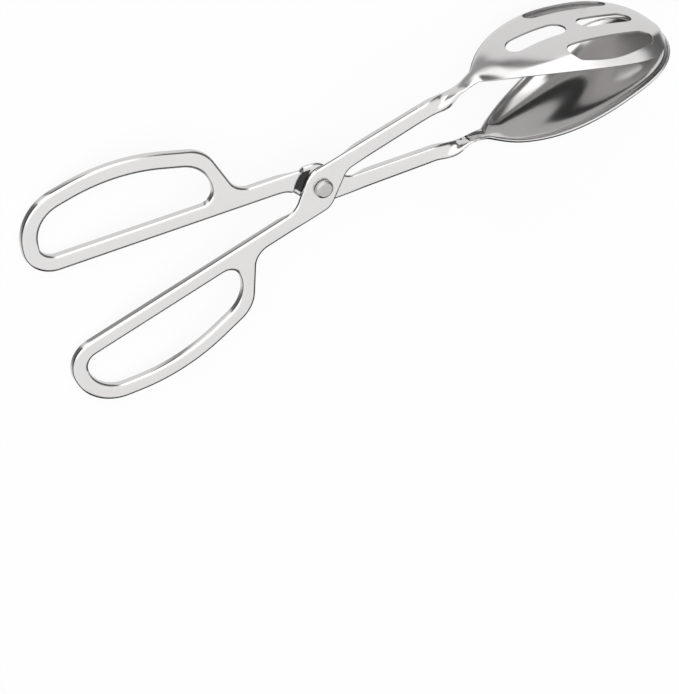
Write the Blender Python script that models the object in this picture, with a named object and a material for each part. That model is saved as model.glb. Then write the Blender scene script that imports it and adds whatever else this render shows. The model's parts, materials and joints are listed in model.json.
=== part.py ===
"""Scissor serving tongs: two pressed steel arms that cross at one rivet.

Each arm is one piece of sheet. A flanged channel makes the finger loop and the shank,
a flat boss carries the rivet, and beyond it the strip twists a quarter turn and opens
into a spoon. The plain arm steps down at the boss, so that both handles lie level.

Every arm is drawn in its own flat frame first: the origin is the pivot on the upper
face, +X runs to the spoons, +Y to the side of the arm's own spoon, +Z is the rivet's axis.
"""
import math

import bmesh
import bpy
import numpy as np
from mathutils import Matrix, Vector
from mathutils.geometry import delaunay_2d_cdt

MM = 0.001

# Sheet and pressed edge
SHEET = 1.1 * MM
BOWL_SHEET = 0.9 * MM
CHANNEL_DEPTH = 3.0 * MM
INNER_BEND = 0.4 * MM
TIGHT_BEND = 0.1 * MM
BURR = 0.1 * MM
CLEARANCE = 0.3 * MM
EDGE_RADIUS = SHEET + INNER_BEND
FLAT_RADIUS = SHEET + TIGHT_BEND
FLAT_DEPTH = FLAT_RADIUS + BURR

# Boss, lap joint and rivet
BOSS_RADIUS = 7.6 * MM
BOSS_REAR_SLANT = math.radians(54.5)
BOSS_FORE_SLANT = math.radians(51.0)
BOSS_ROUND = 8.0 * MM
BOSS_CROOK = 6.0 * MM
LAP_STEP = FLAT_DEPTH + CLEARANCE
LAP_REACH = 12.5 * MM
LAP_RAMP = 1.2 * MM
FLANGE_START = 13.0 * MM
FLANGE_RUN = 12.0 * MM
RIVET_SHANK = 4.2 * MM
RIVET_HEAD = 7.1 * MM
RIVET_TOP = 4.9 * MM
RIVET_HEIGHT = 2.1 * MM
RIVET_TAIL = 6.4 * MM
RIVET_TAIL_HEIGHT = 1.2 * MM
RIVET_BREAK = 0.3 * MM
RIVET_HOLE = RIVET_SHANK + 2 * CLEARANCE

# Handle and finger loop, measured along the handle from the pivot and outward from its axis
HANDLE_ANGLE = math.radians(7.9)
HANDLE_INSET = 3.0 * MM
SHANK_WIDTH = 7.3 * MM
BAND = 6.4 * MM
LOOP_START = 43.0 * MM
LOOP_LENGTH = 66.5 * MM
LOOP_NEAR_HEIGHT = 15.3 * MM
LOOP_CROWN_HEIGHT = 24.5 * MM
LOOP_FAR_HEIGHT = 16.6 * MM
LOOP_CROWN_SHARE = 0.526
LOOP_ROUNDS = (5.0 * MM, 13.3 * MM, 70.0 * MM, 12.5 * MM, 5.5 * MM)
SHOULDER_START = 33.4 * MM
SHOULDER_SLANT = math.radians(64.7)
SHOULDER_ROUND = 14.0 * MM
SHOULDER_CROOK = 8.0 * MM

# Fore-shank between the boss and the spoon
FORE_ANGLE = math.radians(6.73)
FORE_OUTER = 8.2 * MM
FORE_ROOT_WIDTH = 7.8 * MM
FORE_NECK_WIDTH = 6.8 * MM
FORE_LENGTH = 46.0 * MM

# Neck that twists a quarter turn while its flanges fade out
NECK_LEAD = 4.9 * MM
TWIST_RUN = 7.5 * MM
FLANGE_HOLD = 2.0 * MM
FLANGE_FADE = 10.0 * MM
NECK_OVERTURN = math.radians(20.0)
NECK_HALF_WIDTH = 2.3 * MM
NECK_FLARE = 0.9 * MM
NECK_DROP = 2.6 * MM
NECK_RISE = 12.1 * MM
NECK_RUN = 13.2 * MM

# Spoon bowl; shares run along it from its root to its tip
BOWL_LENGTH = 78.7 * MM
BOWL_HALF_WIDTH = 26.1 * MM
BOWL_DEPTH = 7.3 * MM
BOWL_DROP = 3.3 * MM
RIM_RISE = 14.3 * MM
RIM_CREST_SHARE = 0.127
RIM_FALL_SHARE = 0.88
WIDEST_SHARE = 0.737
WIDTH_SWELL = 0.663
NOSE_SHARE = 0.698
NOSE_POWER = 2.47
DEEPEST_SHARE = 0.62
HEEL_POWER = 2.2
WALL_POWER = 4.5
WALL_ROUND = 0.6
TIP_RISE = (BOWL_SHEET + CLEARANCE) / 2
PLAIN_NECK_SET = 0.9 * MM
PLAIN_SPREAD = 1.75 * MM
PLAIN_EXTRA = 1.8 * MM

# Drain slots of the slotted spoon
ROOT_SLOT_WIDTH = 9.6 * MM
TIP_SLOT_WIDTH = 8.4 * MM
SLOT_RIB = 7.6 * MM
SIDE_SLOT_INNER = ROOT_SLOT_WIDTH / 2 + SLOT_RIB
SIDE_SLOT_MARGIN = 2.9 * MM
SIDE_SLOT_OUTER = BOWL_HALF_WIDTH - SIDE_SLOT_MARGIN
SIDE_SLOT_BULGE = 3.6 * MM
SIDE_SLOT_ROUND = 3.6 * MM
SLOT_SHIFT = 0.9 * MM
ROOT_SLOT_SHARES = (0.190, 0.519)
TIP_SLOT_SHARES = (0.590, 0.886)
SIDE_SLOT_SHARES = (0.410, 0.869)

# Fineness of the mesh
ARC_STEP = math.radians(13.0)
ARC_CHORD = 6.0 * MM
NEAR_STEP = 2.5 * MM
FAR_STEP = 30.0 * MM
RAMP_STEP = 0.7 * MM
NEAR_REACH = FLANGE_START + FLANGE_RUN
QUARTER_SHARES = (0.0, 0.25, 0.5, 0.75, 1.0)
RAMP_RING_STEPS = 60
BEND_STEPS = 2
WEB_POINTS = 11
TWIST_STATIONS = 8
NECK_STATIONS = 6
BOWL_STATIONS = 18
ROUND_SHARE = 0.96
HOLE_STEPS = 20
RIVET_STEPS = 28
TIP_SHARE = 0.97
WALL_CROWDING = 0.7
LEVEL_TRIES = 12
SHARP_ANGLE = math.radians(32.0)


def smooth(start, end, value):
    """Ease from 0 at start to 1 at end."""
    share = min(1.0, max(0.0, (value - start) / (end - start)))
    return share * share * (3.0 - 2.0 * share)


def steel(name, colour, roughness):
    """A bare steel finish."""
    material = bpy.data.materials.new(name)
    material.use_nodes = True
    shader = material.node_tree.nodes["Principled BSDF"]
    shader.inputs["Base Color"].default_value = (*colour, 1.0)
    shader.inputs["Metallic"].default_value = 1.0
    shader.inputs["Roughness"].default_value = roughness
    return material


# Flat outlines

def direction(angle):
    return np.array((math.cos(angle), math.sin(angle)))


def left_of(vector):
    return np.array((-vector[1], vector[0]))


def cross(first, second):
    return first[0] * second[1] - first[1] * second[0]


def meet(point, along, other, other_along):
    """Where two lines cross, each given by a point and a direction."""
    share = cross(other - point, other_along) / cross(along, other_along)
    return point + along * share


def on_handle(reach, outward):
    """A point of the handle: reach along it from the pivot, outward from its axis."""
    back = direction(math.pi + HANDLE_ANGLE)
    return back * reach + left_of(back) * outward


def on_fore(reach, outward):
    """A point of the fore-shank: reach along it from the pivot, outward from its axis."""
    ahead = direction(FORE_ANGLE)
    return ahead * reach + left_of(ahead) * outward


def fore_inner(reach):
    """Offset of the fore-shank's inner edge, which draws in towards the neck."""
    taper = (FORE_ROOT_WIDTH - FORE_NECK_WIDTH) / FORE_LENGTH
    return FORE_OUTER - FORE_ROOT_WIDTH + taper * reach


def loop_corners():
    """Corners of the finger hole, in handle reach and offset."""
    base = HANDLE_INSET + BAND
    far = LOOP_START + LOOP_LENGTH
    crown = LOOP_START + LOOP_LENGTH * LOOP_CROWN_SHARE
    return [
        np.array((LOOP_START, base)),
        np.array((LOOP_START, base + LOOP_NEAR_HEIGHT)),
        np.array((crown, base + LOOP_CROWN_HEIGHT)),
        np.array((far, base + LOOP_FAR_HEIGHT)),
        np.array((far, base)),
    ]


def moved_line(start, end, distance):
    """A line through two corners, moved to its left."""
    along = (end - start) / np.linalg.norm(end - start)
    return start + left_of(along) * distance, along


def handle_outer_corners():
    """Corners of the handle's outside, from the inner bar round the loop to the shank."""
    near_low, near_high, crown, far_high, far_low = loop_corners()
    top_near = moved_line(near_high, crown, BAND)
    top_far = moved_line(crown, far_high, BAND)
    end = moved_line(far_high, far_low, BAND)
    base = moved_line(far_low, near_low, BAND)
    foot = np.array((SHOULDER_START, HANDLE_INSET + SHANK_WIDTH))
    shoulder = meet(foot, direction(SHOULDER_SLANT), *top_near)
    rounds = [radius + BAND for radius in LOOP_ROUNDS]
    return [
        (meet(*end, *base), rounds[4]),
        (meet(*top_far, *end), rounds[3]),
        (meet(*top_near, *top_far), rounds[2]),
        (shoulder, SHOULDER_ROUND),
        (foot, SHOULDER_CROOK),
    ]


def arm_corners():
    """The arm's outside as corners with radii, from the neck round the handle and back."""
    rear = direction(BOSS_REAR_SLANT)
    fore = direction(BOSS_FORE_SLANT)
    rear_side = left_of(rear) * BOSS_RADIUS
    fore_side = -left_of(fore) * BOSS_RADIUS
    ahead = direction(FORE_ANGLE)
    back = direction(math.pi + HANDLE_ANGLE)
    neck_outer = on_fore(FORE_LENGTH, FORE_OUTER)
    neck_inner = on_fore(FORE_LENGTH, fore_inner(FORE_LENGTH))
    inner_along = neck_inner - on_fore(0.0, fore_inner(0.0))
    corners = [
        (neck_outer, 0.0),
        (meet(rear_side, rear, neck_outer, ahead), BOSS_ROUND),
        (meet(rear_side, rear, on_handle(0.0, HANDLE_INSET), back), BOSS_ROUND),
    ]
    corners += [(on_handle(*place), radius) for place, radius in handle_outer_corners()]
    shank_edge = on_handle(0.0, HANDLE_INSET + SHANK_WIDTH)
    corners += [
        (meet(fore_side, fore, shank_edge, back), BOSS_ROUND),
        (meet(fore_side, fore, neck_inner, inner_along), BOSS_CROOK),
        (neck_inner, 0.0),
    ]
    return corners


def corner_turn(before, corner, after):
    """How far an outline turns at a corner."""
    come = corner - before
    leave = after - corner
    return math.atan2(cross(come, leave), float(np.dot(come, leave)))


def fitting_rounds(corners):
    """How far each corner's round reaches: two that would overlap share their edge."""
    count = len(corners)
    wanted = []
    for index, (corner, radius) in enumerate(corners):
        turn = corner_turn(corners[index - 1][0], corner, corners[(index + 1) % count][0])
        wanted.append(radius * math.tan(abs(turn) / 2))
    reaches = list(wanted)
    for index in range(count):
        after = (index + 1) % count
        edge = np.linalg.norm(corners[after][0] - corners[index][0]) * ROUND_SHARE
        total = wanted[index] + wanted[after]
        if total > edge:
            reaches[index] = min(reaches[index], edge * wanted[index] / total)
            reaches[after] = min(reaches[after], edge * wanted[after] / total)
    return reaches


def rounded(corners, closed):
    """Points of an outline and their normals into the sheet, which lies to the left."""
    count = len(corners)
    reaches = fitting_rounds(corners)
    points = []
    normals = []
    for index, (corner, radius) in enumerate(corners):
        if not closed and index in (0, count - 1):
            neighbour = corners[1][0] if index == 0 else corners[-2][0]
            along = neighbour - corner if index == 0 else corner - neighbour
            points.append(corner)
            normals.append(left_of(along / np.linalg.norm(along)))
            continue
        before = corners[index - 1][0]
        turn = corner_turn(before, corner, corners[(index + 1) % count][0])
        come = (corner - before) / np.linalg.norm(corner - before)
        side = left_of(come) * math.copysign(1.0, turn)
        arc_radius = reaches[index] / math.tan(abs(turn) / 2)
        centre = corner - come * reaches[index] + side * arc_radius
        steps = max(2, round(abs(turn) / ARC_STEP), math.ceil(abs(turn) * arc_radius / ARC_CHORD))
        for step in range(steps + 1):
            angle = turn * step / steps
            spoke = rotate(-side, angle)
            points.append(centre + spoke * arc_radius)
            normals.append(-spoke * math.copysign(1.0, turn))
    return refine(points, normals, closed)


def rotate(vector, angle):
    return vector[0] * direction(angle) + vector[1] * left_of(direction(angle))


def step_limit(point):
    """How long a stretch of outline may be here: short on the ramp and near the boss."""
    reach = np.linalg.norm(point)
    if LAP_REACH - 2 * LAP_RAMP < reach < LAP_REACH + LAP_RAMP:
        return RAMP_STEP
    return NEAR_STEP if reach < NEAR_REACH else FAR_STEP


def refine(points, normals, closed):
    """Add points along the longer stretches."""
    count = len(points)
    fine_points = []
    fine_normals = []
    for index in range(count):
        fine_points.append(points[index])
        fine_normals.append(normals[index])
        if index == count - 1 and not closed:
            break
        following = (index + 1) % count
        span = points[following] - points[index]
        length = np.linalg.norm(span)
        limit = min(step_limit(points[index] + span * share) for share in QUARTER_SHARES)
        steps = max(1, math.ceil(length / limit))
        for step in range(1, steps):
            share = step / steps
            mixed = normals[index] * (1 - share) + normals[following] * share
            fine_points.append(points[index] + span * share)
            fine_normals.append(mixed / np.linalg.norm(mixed))
    return fine_points, fine_normals


def inside(point, loop):
    """Whether a point lies inside a closed loop of points."""
    crossings = 0
    for start, end in zip(loop, loop[1:] + loop[:1]):
        if (start[1] > point[1]) != (end[1] > point[1]):
            share = (point[1] - start[1]) / (end[1] - start[1])
            crossings += point[0] < start[0] + share * (end[0] - start[0])
    return crossings % 2 == 1


# The pressed edge

def edge_profile(flange):
    """Outer and inner skin of the edge from lip to web, as inset and height.

    A flange of 1 is the full channel wall, and 0 the plain rounded edge of the boss.
    """
    radius = FLAT_RADIUS + (EDGE_RADIUS - FLAT_RADIUS) * flange
    depth = FLAT_DEPTH + (CHANNEL_DEPTH - FLAT_DEPTH) * flange
    skins = []
    for skin_radius, lip in ((radius, 0.0), (radius - SHEET, SHEET)):
        skin = [(lip, -depth)]
        for step in range(BEND_STEPS + 1):
            angle = math.pi / 2 * step / BEND_STEPS
            inset = radius - skin_radius * math.cos(angle)
            skin.append((inset, skin_radius * math.sin(angle) - radius))
        skins.append(skin)
    return skins


def flange_at(point):
    return smooth(FLANGE_START, FLANGE_START + FLANGE_RUN, np.linalg.norm(point))


def lap_drop(point, lapped):
    """How far the web of the lapped arm lies below the other handle's level."""
    if not lapped:
        return 0.0
    if point[0] > 0.0:
        return LAP_STEP
    return LAP_STEP * (1.0 - smooth(LAP_REACH - LAP_RAMP, LAP_REACH, np.linalg.norm(point)))


class ArmMesh:
    """Collects the corners and faces of one arm; turned_over mirrors it to the other side."""

    def __init__(self, lapped):
        self.lapped = lapped
        self.vertices = []
        self.faces = []

    def point(self, x, y, z):
        self.vertices.append((x, -y if self.lapped else y, z))
        return len(self.vertices) - 1

    def quads(self, first, second, closed=False):
        """Join two rows of corners, point by point."""
        last = len(first) if closed else len(first) - 1
        for index in range(last):
            after = (index + 1) % len(first)
            self.faces.append((first[index], first[after], second[after], second[index]))


def sweep_edge(mesh, points, normals, closed):
    """Run the pressed edge along an outline; gives its columns of outer and inner skin."""
    columns = []
    for point, normal in zip(points, normals):
        skins = edge_profile(flange_at(point))
        web_edge = point + normal * skins[0][-1][0]
        drop = lap_drop(web_edge, mesh.lapped)
        column = []
        for skin in skins:
            row = []
            for inset, height in skin:
                place = point + normal * inset
                row.append(mesh.point(place[0], place[1], height - drop))
            column.append(row)
        columns.append((column[0], column[1], web_edge))
    pairs = list(zip(columns, columns[1:] + columns[:1]))
    for here, after in pairs if closed else pairs[:-1]:
        mesh.quads(here[0], after[0])
        mesh.quads(here[1], after[1])
        mesh.faces.append((here[0][0], after[0][0], after[1][0], here[1][0]))
    return columns


def web_points(mesh, places):
    """Corners of the web's two faces at each place."""
    tops = []
    bottoms = []
    for place in places:
        drop = lap_drop(place, mesh.lapped)
        tops.append(mesh.point(place[0], place[1], -drop))
        bottoms.append(mesh.point(place[0], place[1], -SHEET - drop))
    return tops, bottoms


def ring(radius, count):
    return [direction(math.tau * step / count) * radius for step in range(count)]


def ramp_places(outline):
    """Points on the lap's ramp, so that its step is pressed along an arc."""
    places = []
    for share in QUARTER_SHARES:
        for place in ring(LAP_REACH - LAP_RAMP * share, RAMP_RING_STEPS):
            clear = min(np.linalg.norm(place - edge) for edge in outline)
            if place[0] < 0.0 and inside(place, outline) and clear > RAMP_STEP:
                places.append(place)
    return places


def fill_web(mesh, loops, extra):
    """Fill between the loops: each is a list of plan points with its top and bottom corners."""
    plan = []
    tops = []
    bottoms = []
    edges = []
    for places, top_row, bottom_row in loops:
        start = len(plan)
        plan += places
        tops += top_row
        bottoms += bottom_row
        edges += [(start + i, start + (i + 1) % len(places)) for i in range(len(places))]
    plan += extra[0]
    tops += extra[1]
    bottoms += extra[2]
    scaled = [Vector(place) / MM for place in plan]
    result = delaunay_2d_cdt(scaled, edges, [], 0, 1e-6, True)
    corners = [sources[0] for sources in result[3]]
    triangles = [[corners[corner] for corner in triangle] for triangle in result[2]]
    for ids in kept_triangles(triangles, edges):
        mesh.faces.append([tops[i] for i in ids])
        mesh.faces.append([bottoms[i] for i in ids])


def kept_triangles(triangles, borders):
    """Triangles of the sheet: an odd number of borders lies between them and the open air."""
    walls = {frozenset(border) for border in borders}
    neighbours = {}
    for index, ids in enumerate(triangles):
        for side in range(3):
            neighbours.setdefault(frozenset((ids[side], ids[side - 1])), []).append(index)
    crossed = {}
    queue = []
    for side, owners in neighbours.items():
        if len(owners) == 1 and owners[0] not in crossed:
            crossed[owners[0]] = int(side in walls)
            queue.append(owners[0])
    while queue:
        index = queue.pop()
        ids = triangles[index]
        for corner in range(3):
            side = frozenset((ids[corner], ids[corner - 1]))
            for other in neighbours[side]:
                if other not in crossed:
                    crossed[other] = crossed[index] + int(side in walls)
                    queue.append(other)
    return [ids for index, ids in enumerate(triangles) if crossed[index] % 2 == 1]


def flat_part(mesh):
    """The handle, boss and fore-shank; gives the two skins of the section at the neck."""
    points, normals = rounded(arm_corners(), False)
    outward = left_of(direction(FORE_ANGLE))
    normals[0] = -outward
    normals[-1] = outward
    outer = sweep_edge(mesh, points, normals, False)
    hole_corners = list(zip((on_handle(*place) for place in loop_corners()), LOOP_ROUNDS))
    finger = sweep_edge(mesh, *rounded(hole_corners, True), True)

    start = outer[0][2]
    end = outer[-1][2]
    shares = [(index + 1) / (WEB_POINTS + 1) for index in range(WEB_POINTS)]
    line = [start + (end - start) * share for share in shares]
    line_tops, line_bottoms = web_points(mesh, line)

    loops = [(
        [column[2] for column in outer] + line[::-1],
        [column[0][-1] for column in outer] + line_tops[::-1],
        [column[1][-1] for column in outer] + line_bottoms[::-1],
    )]
    loops.append((
        [column[2] for column in finger],
        [column[0][-1] for column in finger],
        [column[1][-1] for column in finger],
    ))
    rivet_ring = ring(RIVET_HOLE / 2, HOLE_STEPS)
    ring_tops, ring_bottoms = web_points(mesh, rivet_ring)
    mesh.quads(ring_tops, ring_bottoms, closed=True)
    loops.append((rivet_ring, ring_tops, ring_bottoms))

    ramp = ramp_places(loops[0][0]) if mesh.lapped else []
    fill_web(mesh, loops, (ramp, *web_points(mesh, ramp)))

    upper = outer[0][0] + line_tops + outer[-1][0][::-1]
    lower = outer[0][1] + line_bottoms + outer[-1][1][::-1]
    return upper, lower


# The neck and the spoon

def shank_end():
    """Where the fore-shank ends and the neck starts."""
    return on_fore(FORE_LENGTH, (FORE_OUTER + fore_inner(FORE_LENGTH)) / 2)[0]


def twist_start():
    return shank_end() + NECK_LEAD


def twist_end():
    return twist_start() + TWIST_RUN


def bowl_root():
    return twist_end() + NECK_RUN


def on_bowl(share):
    return bowl_root() + BOWL_LENGTH * share


def bowl_share(x):
    return (x - bowl_root()) / BOWL_LENGTH


def nose_factor(x, start_share, power):
    """Falls from 1 at the start share to 0 at the tip, with a round end."""
    share = max(0.0, (bowl_share(x) - start_share) / (1.0 - start_share))
    return math.sqrt(max(0.0, 1.0 - share ** power))


def half_width(x):
    """Half width of neck and bowl: the bowl's sides flare smoothly out of the strip."""
    swell = min(1.0, max(0.0, bowl_share(x) / WIDEST_SHARE)) ** WIDTH_SWELL
    side = BOWL_HALF_WIDTH * math.sin(math.pi / 2 * swell)
    flare = min(1.0, max(0.0, (x - twist_end()) / NECK_RUN))
    neck = NECK_HALF_WIDTH + NECK_FLARE * flare
    return math.hypot(neck, side) * nose_factor(x, NOSE_SHARE, NOSE_POWER)


def bowl_dip(x):
    """Depth of the bowl's middle below its rim."""
    heel = (x - twist_end()) / (on_bowl(DEEPEST_SHARE) - twist_end())
    heel = min(1.0, max(0.0, heel))
    return BOWL_DEPTH * math.sin(math.pi / 2 * heel) * nose_factor(x, DEEPEST_SHARE, HEEL_POWER)


def shank_middle(x):
    """Middle line of the fore-shank carried on to x."""
    reach = x / math.cos(FORE_ANGLE)
    middle = (FORE_OUTER + fore_inner(FORE_LENGTH)) / 2
    return on_fore(reach, middle)[1]


def rim_height(x, lapped):
    """Height of the rim over the plane where the two spoons meet."""
    crest = on_bowl(RIM_CREST_SHARE)
    rise = NECK_RISE
    spread = 0.0
    if lapped:
        rise -= PLAIN_NECK_SET
        spread = PLAIN_SPREAD * max(0.0, x - twist_end()) / (on_bowl(1.0) - twist_end())
    if x < crest:
        return spread + rise + (RIM_RISE - rise) * smooth(twist_end(), crest, x)
    share = (x - crest) / (on_bowl(1.0) - crest)
    turn = math.pi * RIM_FALL_SHARE
    fall = (math.cos(turn * share) - math.cos(turn)) / (1.0 - math.cos(turn))
    return spread + TIP_RISE + (RIM_RISE - TIP_RISE) * fall


def unfolding(x):
    """From 0, the full channel, to 1, where its flanges have faded out."""
    start = twist_start() + FLANGE_HOLD
    return smooth(start, twist_end() + FLANGE_FADE, x)


def section_frame(x, lapped):
    """Middle, width axis and face axis of the section at x, and the way its face turns."""
    turn = smooth(twist_start(), twist_end(), x)
    start = -lap_drop((x, 0.0), lapped)
    sink = smooth(twist_end(), bowl_root(), x)
    extra = PLAIN_EXTRA * max(0.0, bowl_share(x)) if lapped else 0.0
    middle = np.array((
        x + extra,
        shank_middle(x) * (1 - turn) + rim_height(x, lapped) * turn,
        start * (1 - turn) - NECK_DROP * turn - (BOWL_DROP - NECK_DROP) * sink,
    ))
    lean = FORE_ANGLE * (1 - turn)
    outward = np.array((-math.sin(lean), math.cos(lean), 0.0))
    up = np.array((0.0, 0.0, 1.0))
    angle = math.pi / 2 * turn + NECK_OVERTURN * turn * (1 - unfolding(x))
    sense = -1.0 if lapped else 1.0
    width_axis = outward * math.cos(angle) - up * (sense * math.sin(angle))
    face_axis = up * math.cos(angle) + outward * (sense * math.sin(angle))
    return middle, width_axis, face_axis, sense


def station_places():
    """Where the sections of neck and bowl stand, closer together round the tip."""
    twist = [twist_start() + TWIST_RUN * step / TWIST_STATIONS for step in range(TWIST_STATIONS)]
    neck = [twist_end() + NECK_RUN * step / NECK_STATIONS for step in range(NECK_STATIONS)]
    bowl = []
    for step in range(BOWL_STATIONS + 1):
        share = step / BOWL_STATIONS * TIP_SHARE
        bowl.append(on_bowl(math.sin(math.pi / 2 * share)))
    return twist + neck + bowl


def channel_section(width):
    """Outer and inner skin of the full channel, as offset from its middle and height."""
    skins = []
    for skin in edge_profile(1.0):
        side = [(width - inset, height) for inset, height in skin]
        edge = side[-1][0]
        web = [(edge * (1 - 2 * (i + 1) / (WEB_POINTS + 1)), side[-1][1]) for i in range(WEB_POINTS)]
        other = [(-offset, height) for offset, height in side[::-1]]
        skins.append(side + web + other)
    return skins


def across_shares(count):
    """Places across the bowl from one rim to the other, closer together on its walls."""
    shares = []
    for index in range(count):
        even = 1.0 - 2.0 * index / (count - 1)
        shares.append(even + WALL_CROWDING * (math.sin(math.pi / 2 * even) - even))
    return shares


def middle_surface(places, lapped, count):
    """The bowl's middle surface as rows of points, one row to a station."""
    rows = []
    for x in places:
        middle, width_axis, face_axis, sense = section_frame(x, lapped)
        width = half_width(x)
        dip = bowl_dip(x)
        row = []
        for share in across_shares(count):
            height = sense * dip * (1.0 - abs(share) ** WALL_POWER) ** WALL_ROUND
            row.append(middle + width_axis * (share * width) + face_axis * height)
        rows.append(row)
    return np.array(rows)


def loft_spoon(mesh, upper, lower):
    """Carry the channel's section through the twist and open it into the spoon."""
    places = station_places()
    count = len(upper)
    surface = middle_surface([shank_end()] + places, mesh.lapped, count)
    along = np.gradient(surface, axis=0)
    across = np.gradient(surface, axis=1)
    normals = np.cross(across, along)
    normals /= np.linalg.norm(normals, axis=2, keepdims=True)
    root_width = (FORE_OUTER - fore_inner(FORE_LENGTH)) / 2
    channel = channel_section(root_width)
    for index, x in enumerate(places, start=1):
        middle, width_axis, face_axis, sense = section_frame(x, mesh.lapped)
        flat = unfolding(x)
        next_rows = []
        for skin, side in zip(channel, (1.0, -1.0)):
            row = []
            for column, (offset, height) in enumerate(skin):
                normal = normals[index, column]
                if np.dot(normal, face_axis) < 0.0:
                    normal = -normal
                pressed = surface[index, column] + normal * (side * BOWL_SHEET / 2)
                folded = middle + width_axis * offset + face_axis * height
                row.append(mesh.point(*(folded * (1 - flat) + pressed * flat)))
            next_rows.append(row)
        mesh.quads(upper, next_rows[0])
        mesh.quads(lower, next_rows[1])
        mesh.faces.append((upper[0], next_rows[0][0], next_rows[1][0], lower[0]))
        mesh.faces.append((upper[-1], next_rows[0][-1], next_rows[1][-1], lower[-1]))
        upper, lower = next_rows
    mesh.quads(upper, lower)


# Objects

def solid(name, vertices, faces, material):
    """One closed body from its corners and faces, with its faces turned outwards."""
    mesh = bpy.data.meshes.new(name)
    mesh.from_pydata(vertices, [], faces)
    shape = bmesh.new()
    shape.from_mesh(mesh)
    bmesh.ops.recalc_face_normals(shape, faces=shape.faces)
    bmesh.ops.triangulate(shape, faces=shape.faces)
    shape.to_mesh(mesh)
    shape.free()
    mesh.materials.append(material)
    mesh.shade_smooth()
    mesh.set_sharp_from_angle(angle=SHARP_ANGLE)
    thing = bpy.data.objects.new(name, mesh)
    bpy.context.collection.objects.link(thing)
    return thing


def arm(name, lapped, material):
    mesh = ArmMesh(lapped)
    upper, lower = flat_part(mesh)
    loft_spoon(mesh, upper, lower)
    return solid(name, mesh.vertices, mesh.faces, material)


def slot_outline(span_shares, inner, outer, bulge):
    """A rounded slot in plan: a straight inner side and an outer side that may bulge."""
    start, end = (on_bowl(share) for share in span_shares)
    middle = (start + end) / 2
    corners = [
        (np.array((start, inner)), SIDE_SLOT_ROUND),
        (np.array((end, inner)), SIDE_SLOT_ROUND),
        (np.array((end, outer - bulge)), SIDE_SLOT_ROUND),
        (np.array((middle, outer)), (end - start)),
        (np.array((start, outer - bulge)), SIDE_SLOT_ROUND),
    ]
    if not bulge:
        corners.pop(3)
        corners = [(corner, outer) for corner, radius in corners]
    return rounded(corners, True)[0]


def slot_cutter(name, outline):
    """A prism that stands through the upper spoon's wall."""
    low = TIP_RISE / 2
    high = RIM_RISE + 2 * BOWL_DEPTH
    count = len(outline)
    vertices = [(x, y, z + SLOT_SHIFT - BOWL_DROP) for y in (low, high) for x, z in outline]
    faces = [list(range(count)), list(range(count, 2 * count))]
    for index in range(count):
        after = (index + 1) % count
        faces.append((index, after, count + after, count + index))
    cutter = solid(name, vertices, faces, bpy.data.materials["satin_steel"])
    cutter.hide_render = True
    cutter.display_type = "WIRE"
    return cutter


def cut_slots(spoon, frame):
    """The spoon's four drain slots: two on its middle line, one along either side."""
    root_half = ROOT_SLOT_WIDTH / 2
    tip_half = TIP_SLOT_WIDTH / 2
    side = slot_outline(SIDE_SLOT_SHARES, SIDE_SLOT_INNER, SIDE_SLOT_OUTER, SIDE_SLOT_BULGE)
    outlines = {
        "root_slot_cutter": slot_outline(ROOT_SLOT_SHARES, -root_half, root_half, 0.0),
        "tip_slot_cutter": slot_outline(TIP_SLOT_SHARES, -tip_half, tip_half, 0.0),
        "near_slot_cutter": side,
        "far_slot_cutter": [np.array((x, -z)) for x, z in side],
    }
    for name, outline in outlines.items():
        cutter = slot_cutter(name, outline)
        cutter.parent = frame
        cut = spoon.modifiers.new(name, "BOOLEAN")
        cut.operation = "DIFFERENCE"
        cut.solver = "EXACT"
        cut.object = cutter


def rivet(name, material):
    """The rivet, turned from one profile: bevelled head, shank and upset tail."""
    under = -(LAP_STEP + SHEET + CLEARANCE)
    rim = RIVET_HEAD / 2
    shank = RIVET_SHANK / 2
    tail = RIVET_TAIL / 2
    profile = [
        (RIVET_TOP / 2 - RIVET_BREAK, RIVET_HEIGHT),
        (RIVET_TOP / 2, RIVET_HEIGHT - RIVET_BREAK / 2),
        (rim - RIVET_BREAK, CLEARANCE + RIVET_BREAK * 2),
        (rim, CLEARANCE + RIVET_BREAK),
        (rim, CLEARANCE),
        (shank, CLEARANCE),
        (shank, under),
        (tail, under),
        (tail, under - RIVET_TAIL_HEIGHT + RIVET_BREAK),
        (tail - RIVET_BREAK, under - RIVET_TAIL_HEIGHT),
    ]
    vertices = []
    faces = []
    for step in range(RIVET_STEPS):
        spoke = direction(math.tau * step / RIVET_STEPS)
        vertices += [(spoke[0] * radius, spoke[1] * radius, height) for radius, height in profile]
    rows = len(profile)
    for step in range(RIVET_STEPS):
        here = step * rows
        after = (step + 1) % RIVET_STEPS * rows
        for row in range(rows - 1):
            faces.append((here + row, here + row + 1, after + row + 1, after + row))
    faces.append([step * rows for step in range(RIVET_STEPS)])
    faces.append([step * rows + rows - 1 for step in range(RIVET_STEPS)])
    return solid(name, vertices, faces, material)


# Resting pose

def resting_matrix(meshes):
    """Lay the tongs on the table: spoons and loop ends touch it, origin under the middle."""
    points = np.array([vertex.co for mesh in meshes for vertex in mesh.vertices])
    tilt = 0.0
    for _ in range(LEVEL_TRIES):
        turned = points @ np.array(Matrix.Rotation(tilt, 3, "Y")).T
        rear = turned[turned[:, 0] < 0.0]
        fore = turned[turned[:, 0] > 0.0]
        low_rear = rear[rear[:, 2].argmin()]
        low_fore = fore[fore[:, 2].argmin()]
        tilt += math.atan2(low_fore[2] - low_rear[2], low_fore[0] - low_rear[0])
    turned = points @ np.array(Matrix.Rotation(tilt, 3, "Y")).T
    low = turned.min(axis=0)
    high = turned.max(axis=0)
    place = Vector((-(low[0] + high[0]) / 2, -(low[1] + high[1]) / 2, -low[2]))
    return Matrix.Translation(place) @ Matrix.Rotation(tilt, 4, "Y"), tilt


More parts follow.
